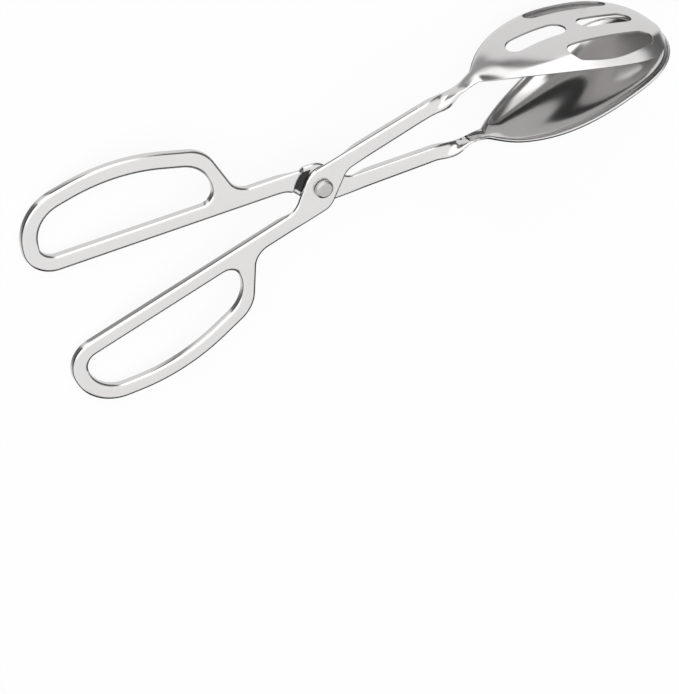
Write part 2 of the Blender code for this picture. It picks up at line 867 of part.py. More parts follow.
def main():
    for thing in list(bpy.data.objects):
        bpy.data.objects.remove(thing)
    satin = steel("satin_steel", (0.74, 0.73, 0.72), 0.28)
    bright = steel("rivet_steel", (0.55, 0.55, 0.55), 0.35)
    slotted_arm = arm("slotted_arm", False, satin)
    plain_arm = arm("plain_arm", True, satin)
    pivot_rivet = rivet("pivot_rivet", bright)
    frame = bpy.data.objects.new("pivot_frame", None)
    bpy.context.collection.objects.link(frame)
    for piece in (slotted_arm, plain_arm, pivot_rivet):
        piece.parent = frame
    cut_slots(slotted_arm, frame)
    frame.matrix_world, tilt = resting_matrix([slotted_arm.data, plain_arm.data])
    bpy.context.view_layer.update()
    axis = frame.matrix_world.to_3x3() @ Vector((0.0, 0.0, 1.0))
    print("tilt in degrees", round(math.degrees(tilt), 3))
    print("pivot", [round(value, 6) for value in frame.matrix_world.translation])
    print("axis", [round(value, 6) for value in axis])


main()
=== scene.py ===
import json
import math
import bpy
import numpy as np
from mathutils import Matrix, Vector
from mathutils.geometry import delaunay_2d_cdt


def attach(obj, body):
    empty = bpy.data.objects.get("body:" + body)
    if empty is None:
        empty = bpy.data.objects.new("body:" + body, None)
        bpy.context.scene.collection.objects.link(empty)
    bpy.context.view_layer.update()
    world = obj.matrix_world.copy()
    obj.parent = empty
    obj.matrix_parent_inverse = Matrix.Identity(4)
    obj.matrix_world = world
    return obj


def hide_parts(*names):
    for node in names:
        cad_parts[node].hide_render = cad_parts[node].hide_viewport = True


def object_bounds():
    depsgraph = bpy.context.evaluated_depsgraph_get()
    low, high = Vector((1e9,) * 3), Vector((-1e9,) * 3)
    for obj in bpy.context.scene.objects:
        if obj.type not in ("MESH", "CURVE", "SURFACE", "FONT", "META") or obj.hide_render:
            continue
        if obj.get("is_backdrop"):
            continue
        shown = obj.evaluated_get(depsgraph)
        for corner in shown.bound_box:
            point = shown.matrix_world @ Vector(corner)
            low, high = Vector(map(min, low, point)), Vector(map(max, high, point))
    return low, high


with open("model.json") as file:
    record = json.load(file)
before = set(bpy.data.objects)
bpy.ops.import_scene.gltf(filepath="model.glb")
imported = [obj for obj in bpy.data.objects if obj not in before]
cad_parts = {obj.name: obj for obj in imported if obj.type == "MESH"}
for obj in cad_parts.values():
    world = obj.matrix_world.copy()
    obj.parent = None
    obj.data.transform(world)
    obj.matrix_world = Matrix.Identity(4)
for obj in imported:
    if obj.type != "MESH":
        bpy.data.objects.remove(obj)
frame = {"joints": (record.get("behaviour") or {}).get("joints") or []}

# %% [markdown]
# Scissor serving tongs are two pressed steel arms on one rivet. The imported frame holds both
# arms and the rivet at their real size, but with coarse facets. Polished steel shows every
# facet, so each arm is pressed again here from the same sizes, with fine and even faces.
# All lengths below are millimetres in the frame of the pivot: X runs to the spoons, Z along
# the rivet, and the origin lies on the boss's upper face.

MM = 0.001
frame_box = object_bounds()
hinge = frame["joints"][0]
PIVOT = Vector(hinge.get("pos_m") or hinge["pos"])
AXIS = Vector(hinge["axis"]).normalized()
across = AXIS.cross(Vector((1.0, 0.0, 0.0))).normalized()
ahead = across.cross(AXIS)
to_world = Matrix((
    (ahead.x, across.x, AXIS.x, PIVOT.x),
    (ahead.y, across.y, AXIS.y, PIVOT.y),
    (ahead.z, across.z, AXIS.z, PIVOT.z),
    (0.0, 0.0, 0.0, 1.0),
))
print("pivot", PIVOT, "axis", AXIS)

# %% [markdown]
# The camera looks down on the tongs from the side of the slotted spoon, with a long lens, so
# that the far loop is hardly smaller than the near spoon. Its place was found by laying the
# solids over the photograph.

# %% Camera
lens = bpy.data.cameras.new("camera")
camera = bpy.data.objects.new("camera", lens)
bpy.context.scene.collection.objects.link(camera)
lens.sensor_fit = "HORIZONTAL"
lens.sensor_width = 36.0
lens.lens = 99.29
view_turn = Matrix((
    (0.86799, 0.44170, -0.22692),
    (-0.21011, 0.74072, 0.63811),
    (0.44994, -0.50620, 0.73575),
))
view_place = Vector((-0.17961, 0.40099, 0.54737))
camera.matrix_world = to_world @ Matrix.Translation(view_place) @ view_turn.to_4x4()
bpy.context.scene.camera = camera
print("camera at", camera.matrix_world.translation)

# %% [markdown]
# ## The pressed sheet
# A pressing has the same thickness everywhere, so it is enough to draw its middle surface.
# The sheet collects corners, the way each one faces, and faces. Thickening it then makes
# both skins and rounds every cut edge, as tumbling does after the press.

# %% A sheet's middle surface
SHEET = 1.1
BOWL_SHEET = 0.9
EDGE_ROUND = 0.28
# How dark every cut edge is painted, as painted shade.
EDGE_PAINTED_SHADE = 0.3
EDGE_POLISH = 0.5


def smooth(start, end, value):
    """Ease from 0 at start to 1 at end."""
    share = min(1.0, max(0.0, (value - start) / (end - start)))
    return share * share * (3.0 - 2.0 * share)


class Sheet:
    """Corners and faces of a pressing's middle surface; the lapped arm is mirrored.

    Polish marks where the finish is brighter. The next two marks are painted shade: the first
    how dark the corner's cut edge is painted, the second how dark its face is painted.
    """

    def __init__(self, lapped):
        self.lapped = lapped
        self.faces = []
        self.places, self.facings, self.exact, self.gauges = [], [], [], []
        self.rounds, self.polishes, self.grimes, self.shades = [], [], [], []

    def corner(self, place, facing, gauge=SHEET, edge_round=EDGE_ROUND, exact=False,
               polish=0.0, grime=EDGE_PAINTED_SHADE, shade=0.0):
        turn = np.array((1.0, -1.0 if self.lapped else 1.0, 1.0))
        self.places.append(np.array(place, float) * turn)
        self.facings.append(np.array(facing, float) * turn)
        self.exact.append(exact)
        self.gauges.append(gauge)
        self.rounds.append(edge_round)
        self.polishes.append(polish)
        self.grimes.append(grime)
        self.shades.append(shade)
        return len(self.places) - 1

    def quads(self, first, second, closed=False):
        for index in range(len(first) if closed else len(first) - 1):
            after = (index + 1) % len(first)
            self.faces.append((first[index], first[after], second[after], second[index]))


def face_normals(sheet, faces):
    """Four corners of each face, a triangle's last one twice, and the normals by area."""
    places = np.array(sheet.places)
    ids = np.array([face if len(face) == 4 else (*face, face[-1]) for face in faces])
    corners = [places[ids[:, column]] for column in range(4)]
    return ids, np.cross(corners[2] - corners[0], corners[3] - corners[1])


def facing_forward(sheet):
    """The faces, each turned to face the way its corners face."""
    ids, normals = face_normals(sheet, sheet.faces)
    agrees = (normals * np.array(sheet.facings)[ids].sum(axis=1)).sum(axis=1) > 0.0
    return [face if right else face[::-1] for face, right in zip(sheet.faces, agrees)]


def corner_normals(sheet, faces):
    """Normals averaged from the faces by area, but for corners whose facing is exact."""
    normals = np.zeros((len(sheet.places), 3))
    ids, of_faces = face_normals(sheet, faces)
    for column in range(4):
        real = np.array([column < len(face) for face in faces])
        np.add.at(normals, ids[real, column], of_faces[real])
    exact = np.array(sheet.exact)
    normals[exact] = np.array(sheet.facings)[exact]
    return normals / np.linalg.norm(normals, axis=1, keepdims=True)


print("sheet", SHEET, "mm thick, drawn down to", BOWL_SHEET, "mm in the spoons")

# %% [markdown]
# Thickening moves a copy of the surface half a thickness to either side. Along each open
# edge a narrow strip of faces joins the two skins. Its rows follow two quarter rounds, so
# that the edge catches a thin line of light as a tumbled edge does. Two marks go with every
# corner, for the finish to read: polish, and painted shade that darkens edges and faces.

# %% Thickening a sheet
ROUND_ROWS = 3


def open_edges(faces):
    """The corner that follows each corner on an open edge, and the corner before it."""
    sides = set()
    for face in faces:
        sides.update(zip(face, face[1:] + face[:1]))
    following = {start: end for start, end in sides if (end, start) not in sides}
    return following, {end: start for start, end in following.items()}


def strip_rows(thickness, edge_round):
    """Across the edge, from one skin to the other: outward, height and angle of each row."""
    rows = []
    for step in range(1, 2 * ROUND_ROWS + 1):
        second = step > ROUND_ROWS
        angle = math.pi / 2 * (step - (1 if second else 0)) / ROUND_ROWS
        middle = (thickness / 2 - edge_round) * (-1.0 if second else 1.0)
        rows.append((edge_round * math.sin(angle), middle + edge_round * math.cos(angle), angle))
    return rows


def thickened(sheet, polish, painted_shade):
    """Corners, faces, normals and marks of the closed solid, from the marks of its two skins."""
    faces = facing_forward(sheet)
    normals = corner_normals(sheet, faces)
    places = np.array(sheet.places)
    half = np.array(sheet.gauges)[:, None] / 2
    count = len(places)
    solid = list(places + normals * half) + list(places - normals * half)
    shading = list(normals) + list(-normals)
    solid_faces = list(faces) + [tuple(corner + count for corner in face[::-1]) for face in faces]
    following, before = open_edges(faces)
    rows = {}
    for corner in following:
        along = places[following[corner]] - places[before[corner]]
        out = np.cross(along, normals[corner])
        out /= np.linalg.norm(out)
        edge = [corner]
        for reach, height, angle in strip_rows(sheet.gauges[corner], sheet.rounds[corner]):
            solid.append(places[corner] + out * reach + normals[corner] * height)
            shading.append(normals[corner] * math.cos(angle) + out * math.sin(angle))
            polish.append(EDGE_POLISH)
            # Painted shade: the cut edge's colour is darkened, darkest across the edge's middle.
            painted_shade.append(sheet.grimes[corner] * math.sin(angle))
            edge.append(len(solid) - 1)
        edge.append(corner + count)
        rows[corner] = edge
    for corner, after in following.items():
        here, there = rows[corner], rows[after]
        for row in range(len(here) - 1):
            solid_faces.append((here[row + 1], there[row + 1], there[row], here[row]))
    return np.array(solid), solid_faces, np.array(shading), {"polish": polish, "painted_shade": painted_shade}


def placed_piece(name, solid, faces, shading, marks):
    """A mesh object in the frame of the tongs, with its smooth normals kept."""
    turn = np.array(to_world.to_3x3())
    mesh = bpy.data.meshes.new(name)
    mesh.from_pydata((solid @ turn.T * MM + np.array(PIVOT)).tolist(), [], faces)
    mesh.shade_smooth()
    mesh.normals_split_custom_set_from_vertices((shading @ turn.T).tolist())
    for mark, values in marks.items():
        mesh.attributes.new(mark, "FLOAT", "POINT").data.foreach_set("value", values)
    piece = bpy.data.objects.new(name, mesh)
    bpy.context.scene.collection.objects.link(piece)
    return piece


print("rows across a cut edge", len(strip_rows(SHEET, EDGE_ROUND)))

# %% [markdown]
# ## The arm's outline
# The blank is drawn as straight runs whose corners are rounded, as a die maker draws it: a
# closed finger loop, a straight shank, a boss round the rivet and a shank that draws in
# towards the spoon. Each point carries a normal into the sheet for the pressed edge.

# %% Plan helpers
ARC_STEP = math.radians(4.0)
ARC_CHORD = 1.6
NEAR_STEP = 1.0
FAR_STEP = 6.0
LAP_REACH = 12.5
LAP_RAMP = 1.5
RAMP_STEP = 0.25
FLANGE_START = 13.0
FLANGE_RUN = 8.0
LIMIT_PROBES = 9


def direction(angle):
    return np.array((math.cos(angle), math.sin(angle)))


def left_of(vector):
    return np.array((-vector[1], vector[0]))


def cross(first, second):
    return first[0] * second[1] - first[1] * second[0]


def meet(point, along, other, other_along):
    """Where two lines cross, each given by a point and a direction."""
    return point + along * (cross(other - point, other_along) / cross(along, other_along))


def rotate(vector, angle):
    return vector[0] * direction(angle) + vector[1] * left_of(direction(angle))


def step_limit(point):
    reach = np.linalg.norm(point)
    if LAP_REACH - 2 * LAP_RAMP < reach < LAP_REACH + LAP_RAMP:
        return RAMP_STEP
    return NEAR_STEP if reach < FLANGE_START + FLANGE_RUN else FAR_STEP


def refine(points, normals, closed):
    """Add points along the longer stretches."""
    fine_points, fine_normals = [], []
    count = len(points)
    for index in range(count):
        fine_points.append(points[index])
        fine_normals.append(normals[index])
        if index == count - 1 and not closed:
            break
        following = (index + 1) % count
        span = points[following] - points[index]
        probes = [points[index] + span * share for share in np.linspace(0, 1, LIMIT_PROBES)]
        limit = min(step_limit(probe) for probe in probes)
        steps = max(1, math.ceil(np.linalg.norm(span) / limit))
        for step in range(1, steps):
            share = step / steps
            mixed = normals[index] * (1 - share) + normals[following] * share
            fine_points.append(points[index] + span * share)
            fine_normals.append(mixed / np.linalg.norm(mixed))
    return fine_points, fine_normals


def rounded(corners, closed):
    """Points of an outline with rounded corners, and their normals into the sheet."""
    count = len(corners)
    points, normals = [], []
    for index, (corner, radius) in enumerate(corners):
        if not closed and index in (0, count - 1):
            along = corners[1][0] - corner if index == 0 else corner - corners[-2][0]
            points.append(corner)
            normals.append(left_of(along / np.linalg.norm(along)))
            continue
        come = corner - corners[index - 1][0]
        leave = corners[(index + 1) % count][0] - corner
        come /= np.linalg.norm(come)
        turn = math.atan2(cross(come, leave), float(np.dot(come, leave)))
        side = left_of(come) * math.copysign(1.0, turn)
        centre = corner - come * (radius * math.tan(abs(turn) / 2)) + side * radius
        steps = max(4, round(abs(turn) / ARC_STEP), math.ceil(abs(turn) * radius / ARC_CHORD))
        for step in range(steps + 1):
            spoke = rotate(-side, turn * step / steps)
            points.append(centre + spoke * radius)
            normals.append(-spoke * math.copysign(1.0, turn))
    return refine(points, normals, closed)


print("steps along straight runs", RAMP_STEP, NEAR_STEP, FAR_STEP)

# %% [markdown]
# The handle's places are given along the handle and outward from it, and the fore-shank's
# along the fore-shank, so that each length is one that could be measured on the part. The
# boss is bounded by two slanting lines that clear the other arm's shanks.

# %% Handle, boss and shank
BOSS_RADIUS = 7.6
BOSS_REAR_SLANT = math.radians(54.5)
BOSS_FORE_SLANT = math.radians(51.0)
BOSS_ROUND = 8.0
BOSS_CROOK = 6.0
HANDLE_ANGLE = math.radians(7.9)
HANDLE_INSET = 3.0
SHANK_WIDTH = 7.3
BAND = 6.4
LOOP_START = 43.0
LOOP_LENGTH = 66.5
LOOP_HEIGHTS = (15.3, 24.5, 16.6)
LOOP_CROWN_SHARE = 0.526
LOOP_ROUNDS = (5.0, 13.3, 70.0, 12.5, 5.5)
SHOULDER_START = 33.4
SHOULDER_SLANT = math.radians(64.7)
SHOULDER_ROUND = 14.0
SHOULDER_CROOK = 8.0
FORE_ANGLE = math.radians(6.73)
FORE_OUTER = 8.2
FORE_ROOT_WIDTH = 7.8
FORE_NECK_WIDTH = 6.8
FORE_LENGTH = 46.0


def on_handle(reach, outward):
    back = direction(math.pi + HANDLE_ANGLE)
    return back * reach + left_of(back) * outward


def on_fore(reach, outward):
    ahead_way = direction(FORE_ANGLE)
    return ahead_way * reach + left_of(ahead_way) * outward


def fore_inner(reach):
    """Offset of the fore-shank's inner edge, which draws in towards the neck."""
    return FORE_OUTER - FORE_ROOT_WIDTH + (FORE_ROOT_WIDTH - FORE_NECK_WIDTH) / FORE_LENGTH * reach


def loop_corners():
    base = HANDLE_INSET + BAND
    far = LOOP_START + LOOP_LENGTH
    crown = LOOP_START + LOOP_LENGTH * LOOP_CROWN_SHARE
    near_height, crown_height, far_height = LOOP_HEIGHTS
    places = [(LOOP_START, base), (LOOP_START, base + near_height), (crown, base + crown_height)]
    return [np.array(place) for place in places + [(far, base + far_height), (far, base)]]


def moved_line(start, end, distance):
    along = (end - start) / np.linalg.norm(end - start)
    return start + left_of(along) * distance, along


def handle_outer_corners():
    near_low, near_high, crown, far_high, far_low = loop_corners()
    top_near = moved_line(near_high, crown, BAND)
    top_far = moved_line(crown, far_high, BAND)
    end = moved_line(far_high, far_low, BAND)
    base = moved_line(far_low, near_low, BAND)
    foot = np.array((SHOULDER_START, HANDLE_INSET + SHANK_WIDTH))
    rounds = [radius + BAND for radius in LOOP_ROUNDS]
    return [
        (meet(*end, *base), rounds[4]),
        (meet(*top_far, *end), rounds[3]),
        (meet(*top_near, *top_far), rounds[2]),
        (meet(foot, direction(SHOULDER_SLANT), *top_near), SHOULDER_ROUND),
        (foot, SHOULDER_CROOK),
    ]


def arm_corners():
    """The arm's outside, from the neck round the handle and back to the neck."""
    rear, fore = direction(BOSS_REAR_SLANT), direction(BOSS_FORE_SLANT)
    rear_side, fore_side = left_of(rear) * BOSS_RADIUS, -left_of(fore) * BOSS_RADIUS
    back = direction(math.pi + HANDLE_ANGLE)
    neck_outer = on_fore(FORE_LENGTH, FORE_OUTER)
    neck_inner = on_fore(FORE_LENGTH, fore_inner(FORE_LENGTH))
    shank_edge = on_handle(0.0, HANDLE_INSET + SHANK_WIDTH)
    inner_along = neck_inner - on_fore(0.0, fore_inner(0.0))
    corners = [
        (neck_outer, 0.0),
        (meet(rear_side, rear, neck_outer, direction(FORE_ANGLE)), BOSS_ROUND),
        (meet(rear_side, rear, on_handle(0.0, HANDLE_INSET), back), BOSS_ROUND),
    ]
    corners += [(on_handle(*place), radius) for place, radius in handle_outer_corners()]
    return corners + [
        (meet(fore_side, fore, shank_edge, back), BOSS_ROUND),
        (meet(fore_side, fore, neck_inner, inner_along), BOSS_CROOK),
        (neck_inner, 0.0),
    ]


print("outline corners", len(arm_corners()), "finger hole corners", len(loop_corners()))

# %% [markdown]
# ## The pressed edge
# All round the handle and along the shanks the edge is folded down into a flange, which
# makes the strip a stiff channel. At the boss the flange fades to a plain rounded edge, so
# that the two arms can lie on each other. The profile is drawn from the lip to the web.

# %% The edge's profile
CHANNEL_DEPTH = 3.0
CHANNEL_BEND = 1.5
FLAT_BEND = 1.2
EDGE_ROUNDS = (0.1, EDGE_ROUND)
LIP_LEAST = 0.02
BEND_ROWS = 6
GUARD = 0.3
TRIM = 0.06


def edge_profile(flange):
    """The edge's middle line from lip to web, as inset, height, and the way it faces."""
    bend = FLAT_BEND + (CHANNEL_BEND - FLAT_BEND) * flange
    edge_round = EDGE_ROUNDS[0] + (EDGE_ROUNDS[1] - EDGE_ROUNDS[0]) * flange
    lip = FLAT_BEND + (CHANNEL_DEPTH - EDGE_ROUNDS[1] - FLAT_BEND) * flange
    mid_bend = bend - SHEET / 2
    rows = []
    for share in (1.0, 0.5):
        low = -bend - (lip - bend) * share
        rows.append((SHEET / 2, min(low, -bend - LIP_LEAST * share), 1.0, 0.0))
    for step in range(BEND_ROWS + 1):
        angle = math.pi / 2 * step / BEND_ROWS
        side, rise = math.cos(angle), math.sin(angle)
        rows.append((bend - mid_bend * side, mid_bend * rise - bend, side, rise))
    rows.append((bend + GUARD, -SHEET / 2, 0.0, 1.0))
    rows = [(inset + TRIM, height, side, rise) for inset, height, side, rise in rows]
    return rows, edge_round


print("edge rows", len(edge_profile(1.0)[0]))

# %% [markdown]
# The plain arm's web steps down under the other boss. The ramp of this lap stands clear of
# that boss, which sweeps over the step's floor as the tongs open. The ramp and the floor get
# a painted dark shade, as they face only each other and the boss.

# %% Lap and web
LAP_STEP = 1.6
LAP_FOOT = 8.0
RAMP_STRAIGHT = 0.6
RECESS_SHADE = 1.55
SHADE_DEPTH = 0.35
SHADE_BORDER = (LAP_FOOT - 1.4, LAP_FOOT - 0.7)


def under_boss(place):
    """How far out a place lies across the other arm's boss edge, from the pivot."""
    return float(np.dot(place, direction(-BOSS_REAR_SLANT - math.pi / 2)))


def lap_drop(place, lapped):
    """How far the lapped arm's web lies below the other handle's level."""
    if not lapped:
        return 0.0
    if place[0] > 0.0:
        return LAP_STEP
    reach = float(np.linalg.norm(place))
    low = max(0.0, min(under_boss(place) - LAP_FOOT, reach - (LAP_REACH - LAP_RAMP)))
    high = max(0.0, LAP_REACH - reach)
    if high == 0.0:
        return 0.0
    share = low / (low + high)
    rise = RAMP_STRAIGHT * share + (1.0 - RAMP_STRAIGHT) * smooth(0.0, 1.0, share)
    return LAP_STEP * (1.0 - rise)


def web_facing(place, lapped):
    """The web's own normal: straight up, but for the lap's ramp."""
    probe = 0.01
    slopes = []
    for way in (np.array((probe, 0.0)), np.array((0.0, probe))):
        change = lap_drop(np.array(place) + way, lapped) - lap_drop(np.array(place) - way, lapped)
        slopes.append(change / (2 * probe))
    normal = np.array((slopes[0], slopes[1], 1.0))
    return normal / np.linalg.norm(normal)


def sweep_edge(sheet, points, normals, closed):
    """Run the pressed edge along an outline; gives each column and its last plan place."""
    columns = []
    for point, normal in zip(points, normals):
        flange = smooth(FLANGE_START, FLANGE_START + FLANGE_RUN, np.linalg.norm(point))
        rows, edge_round = edge_profile(flange)
        column = []
        for inset, height, side, rise in rows:
            place = point + normal * inset
            drop = lap_drop(point + normal * max(inset, rows[-2][0]), sheet.lapped)
            facing = (-normal[0] * side, -normal[1] * side, rise)
            bend = math.sqrt(side * rise * 2.0)
            spot = (*place, height - drop)
            column.append(sheet.corner(spot, facing, edge_round=edge_round, polish=bend))
        columns.append((column, point + normal * rows[-1][0]))
    pairs = list(zip(columns, columns[1:] + columns[:1]))
    for here, after in pairs if closed else pairs[:-1]:
        sheet.quads(here[0], after[0])
    return columns


def web_corner(sheet, place):
    drop = lap_drop(place, sheet.lapped)
    # Painted shade on the lap's ramp and floor.
    shade = smooth(0.0, SHADE_DEPTH, drop) * smooth(*SHADE_BORDER, under_boss(place))
    shade *= RECESS_SHADE
    facing = web_facing(place, sheet.lapped)
    return sheet.corner((*place, -SHEET / 2 - drop), facing, exact=True, shade=shade)


print("lap", LAP_STEP, "mm deep, ramp", LAP_RAMP, "mm wide")

# %% [markdown]
# A flat part is filled with triangles between its borders. What lies inside an odd number of
# borders is sheet, and the rest is a hole.

# %% Filling between borders
def between_borders(triangles, borders):
    """Triangles with an odd number of borders between them and the open air."""
    walls = {frozenset(border) for border in borders}
    neighbours = {}
    for index, ids in enumerate(triangles):
        for side in range(3):
            neighbours.setdefault(frozenset((ids[side], ids[side - 1])), []).append(index)
    crossed, queue = {}, []
    for side, owners in neighbours.items():
        if len(owners) == 1 and owners[0] not in crossed:
            crossed[owners[0]] = int(side in walls)
            queue.append(owners[0])
    while queue:
        index = queue.pop()
        ids = triangles[index]
        for corner in range(3):
            side = frozenset((ids[corner], ids[corner - 1]))
            for other in neighbours[side]:
                if other not in crossed:
                    crossed[other] = crossed[index] + int(side in walls)
                    queue.append(other)
    return [ids for index, ids in enumerate(triangles) if crossed[index] % 2 == 1]


def fill(sheet, loops, loose):
    """Fill between closed borders, each a list of (plan place, corner), with loose points."""
    plan, owners, borders = [], [], []
    for loop in loops:
        start = len(plan)
        plan += [place for place, corner in loop]
        owners += [corner for place, corner in loop]
        borders += [(start + i, start + (i + 1) % len(loop)) for i in range(len(loop))]
    plan += [place for place, corner in loose]
    owners += [corner for place, corner in loose]
    result = delaunay_2d_cdt([Vector(place) for place in plan], borders, [], 0, 1e-6, True)
    origin = [sources[0] for sources in result[3]]
    triangles = [tuple(origin[corner] for corner in face) for face in result[2]]
    for ids in between_borders(triangles, borders):
        sheet.faces.append(tuple(owners[corner] for corner in ids))


def inside(point, loop):
    """Whether a point lies inside a closed loop of points."""
    ends = np.array(loop)
    starts = np.roll(ends, 1, axis=0)
    spans = (starts[:, 1] > point[1]) != (ends[:, 1] > point[1])
    rise = np.where(spans, ends[:, 1] - starts[:, 1], 1.0)
    at = starts[:, 0] + (point[1] - starts[:, 1]) / rise * (ends[:, 0] - starts[:, 0])
    return int((spans & (point[0] < at)).sum()) % 2 == 1


# %% [markdown]
# The edge runs along the arm's outline and round the finger hole, and the web fills what
# lies between, but for the rivet's hole. Where the arm ends in the neck, its section's
# corners are handed on.

# %% The flat part
RAMP_ROWS = 25
RAMP_SPOKES = 240
RAMP_SPAN = (-0.1, 3.2)
RIVET_HOLE = 4.8
RIVET_STEPS = 64
RIM_POINTS = 27


def ramp_places(outline):
    """Fine rows of points on the lap's ramp and floor, so that both shade smoothly."""
    edges = np.array(outline)
    places = []
    for share in np.linspace(*RAMP_SPAN, RAMP_ROWS):
        for step in range(RAMP_SPOKES):
            spoke = direction(math.tau * step / RAMP_SPOKES)
            place = spoke * (LAP_REACH - LAP_RAMP * share)
            clear = np.linalg.norm(edges - place, axis=1).min()
            if place[0] < 0.0 and clear > RAMP_STEP and inside(place, outline):
                places.append(place)
    return places


def flat_part(sheet):
    """Handle, boss and fore-shank; gives the section's corners where the neck starts."""
    points, normals = rounded(arm_corners(), False)
    outward = left_of(direction(FORE_ANGLE))
    normals[0], normals[-1] = -outward, outward
    outer = sweep_edge(sheet, points, normals, False)
    hole = [(on_handle(*place), radius) for place, radius in zip(loop_corners(), LOOP_ROUNDS)]
    finger = sweep_edge(sheet, *rounded(hole, True), True)
    start, end = outer[0][1], outer[-1][1]
    line = [start + (end - start) * (i + 1) / (RIM_POINTS + 1) for i in range(RIM_POINTS)]
    line_corners = [web_corner(sheet, place) for place in line]
    border = [(place, column[-1]) for column, place in outer]
    border += list(zip(line, line_corners))[::-1]
    turns = [math.tau * step / RIVET_STEPS for step in range(RIVET_STEPS)]
    rivet_ring = [direction(turn) * RIVET_HOLE / 2 for turn in turns]
    loops = [border, [(place, column[-1]) for column, place in finger]]
    loops.append([(place, web_corner(sheet, place)) for place in rivet_ring])
    loose = ramp_places([place for place, corner in border]) if sheet.lapped else []
    fill(sheet, loops, [(place, web_corner(sheet, place)) for place in loose])
    return outer[0][0] + line_corners + outer[-1][0][::-1]


print("corners across the neck's start", 2 * len(edge_profile(1.0)[0]) + RIM_POINTS)

# %% [markdown]
# ## Neck and spoon
# Beyond the shank the channel makes a quarter turn, its flanges fade, and it opens into the
# spoon. A few smooth rules along the arm give the spoon's half width, its rim's height and
# its bowl's depth. Shares run from 0 at the bowl's root to 1 at its tip.

# %% Rules of the neck and spoon
NECK_LEAD = 2.6
TWIST_RUN = 15.0
FLANGE_HOLDS = (6.0, -3.0)
FLANGE_FADE = 5.0
NECK_OVERTURNS = (math.radians(22.0), 0.0)
NECK_HALF_WIDTH = 2.3
NECK_FLARE = 0.9
NECK_DROP = 2.6
NECK_RISE = 12.1
NECK_RUN = 8.0
BOWL_LENGTH = 78.35
BOWL_HALF_WIDTH = 26.0
BOWL_DEPTH = 7.3
BOWL_DROP = 3.3
RIM_RISE = 14.3
RIM_CREST_SHARE = 0.127
RIM_FALL_SHARE = 0.88
WIDEST_SHARE = 0.737
WIDTH_SWELL = 0.663
NOSE_SHARE = 0.698
NOSE_POWER = 2.47
DEEPEST_SHARE = 0.62
HEEL_POWER = 2.2
PLAIN_WALL = (3.0, 0.85)
FAR_WALL = (4.5, 0.6)
HEEL_ROUND = 2.2
CREASE_SHARE = 0.85
CREASE_SOFT = 0.03
CROWN = 0.24
WALL_SHARES = (0.08, 0.52)
WALL_CROWDING = 0.7
TIP_RISE = 0.7
PLAIN_NECK_SET = 0.9
PLAIN_SPREAD = 1.75
PLAIN_EXTRA = 1.8
SHANK_END = float(on_fore(FORE_LENGTH, (FORE_OUTER + fore_inner(FORE_LENGTH)) / 2)[0])
TWIST_START = SHANK_END + NECK_LEAD
TWIST_END = TWIST_START + TWIST_RUN
BOWL_ROOT = TWIST_END + NECK_RUN


def on_bowl(share):
    return BOWL_ROOT + BOWL_LENGTH * share


def bowl_share(x):
    return (x - BOWL_ROOT) / BOWL_LENGTH


def nose_factor(x, start_share, power):
    """Falls from 1 at the start share to 0 at the tip, with a round end."""
    share = max(0.0, (bowl_share(x) - start_share) / (1.0 - start_share))
    return math.sqrt(max(0.0, 1.0 - share ** power))


def half_width(x):
    swell = min(1.0, max(0.0, bowl_share(x) / WIDEST_SHARE)) ** WIDTH_SWELL
    side = BOWL_HALF_WIDTH * math.sin(math.pi / 2 * swell)
    neck = NECK_HALF_WIDTH + NECK_FLARE * min(1.0, max(0.0, (x - TWIST_END) / NECK_RUN))
    return math.hypot(neck, side) * nose_factor(x, NOSE_SHARE, NOSE_POWER)


def bowl_dip(x):
    """Depth of the bowl's middle below its rim."""
    heel = min(1.0, max(0.0, (x - TWIST_END) / (on_bowl(DEEPEST_SHARE) - TWIST_END)))
    return BOWL_DEPTH * math.sin(math.pi / 2 * heel) * nose_factor(x, DEEPEST_SHARE, HEEL_POWER)


print("twist from", round(TWIST_START, 1), "bowl", round(BOWL_ROOT, 1), round(on_bowl(1.0), 1))

# %% [markdown]
# Each section stands across the arm at one place along it. It has a middle, an axis across
# its width and one out of its face. The axes make a quarter turn through the neck, and turn
# a little farther while the flanges still stand.

# %% Sections across the arm
def shank_middle(x):
    return on_fore(x / math.cos(FORE_ANGLE), (FORE_OUTER + fore_inner(FORE_LENGTH)) / 2)[1]


def rim_height(x, lapped):
    """Height of the rim over the plane where the two spoons meet."""
    crest = on_bowl(RIM_CREST_SHARE)
    rise, spread = NECK_RISE, 0.0
    if lapped:
        rise -= PLAIN_NECK_SET
        spread = PLAIN_SPREAD * max(0.0, x - TWIST_END) / (on_bowl(1.0) - TWIST_END)
    if x < crest:
        return spread + rise + (RIM_RISE - rise) * smooth(TWIST_END, crest, x)
    share = (x - crest) / (on_bowl(1.0) - crest)
    turn = math.pi * RIM_FALL_SHARE
    fall = (math.cos(turn * share) - math.cos(turn)) / (1.0 - math.cos(turn))
    return spread + TIP_RISE + (RIM_RISE - TIP_RISE) * fall


def unfolding(x, lapped):
    """From 0, the full channel, to 1, where its flanges have faded out."""
    return smooth(TWIST_START + FLANGE_HOLDS[int(lapped)], TWIST_END + FLANGE_FADE, x)


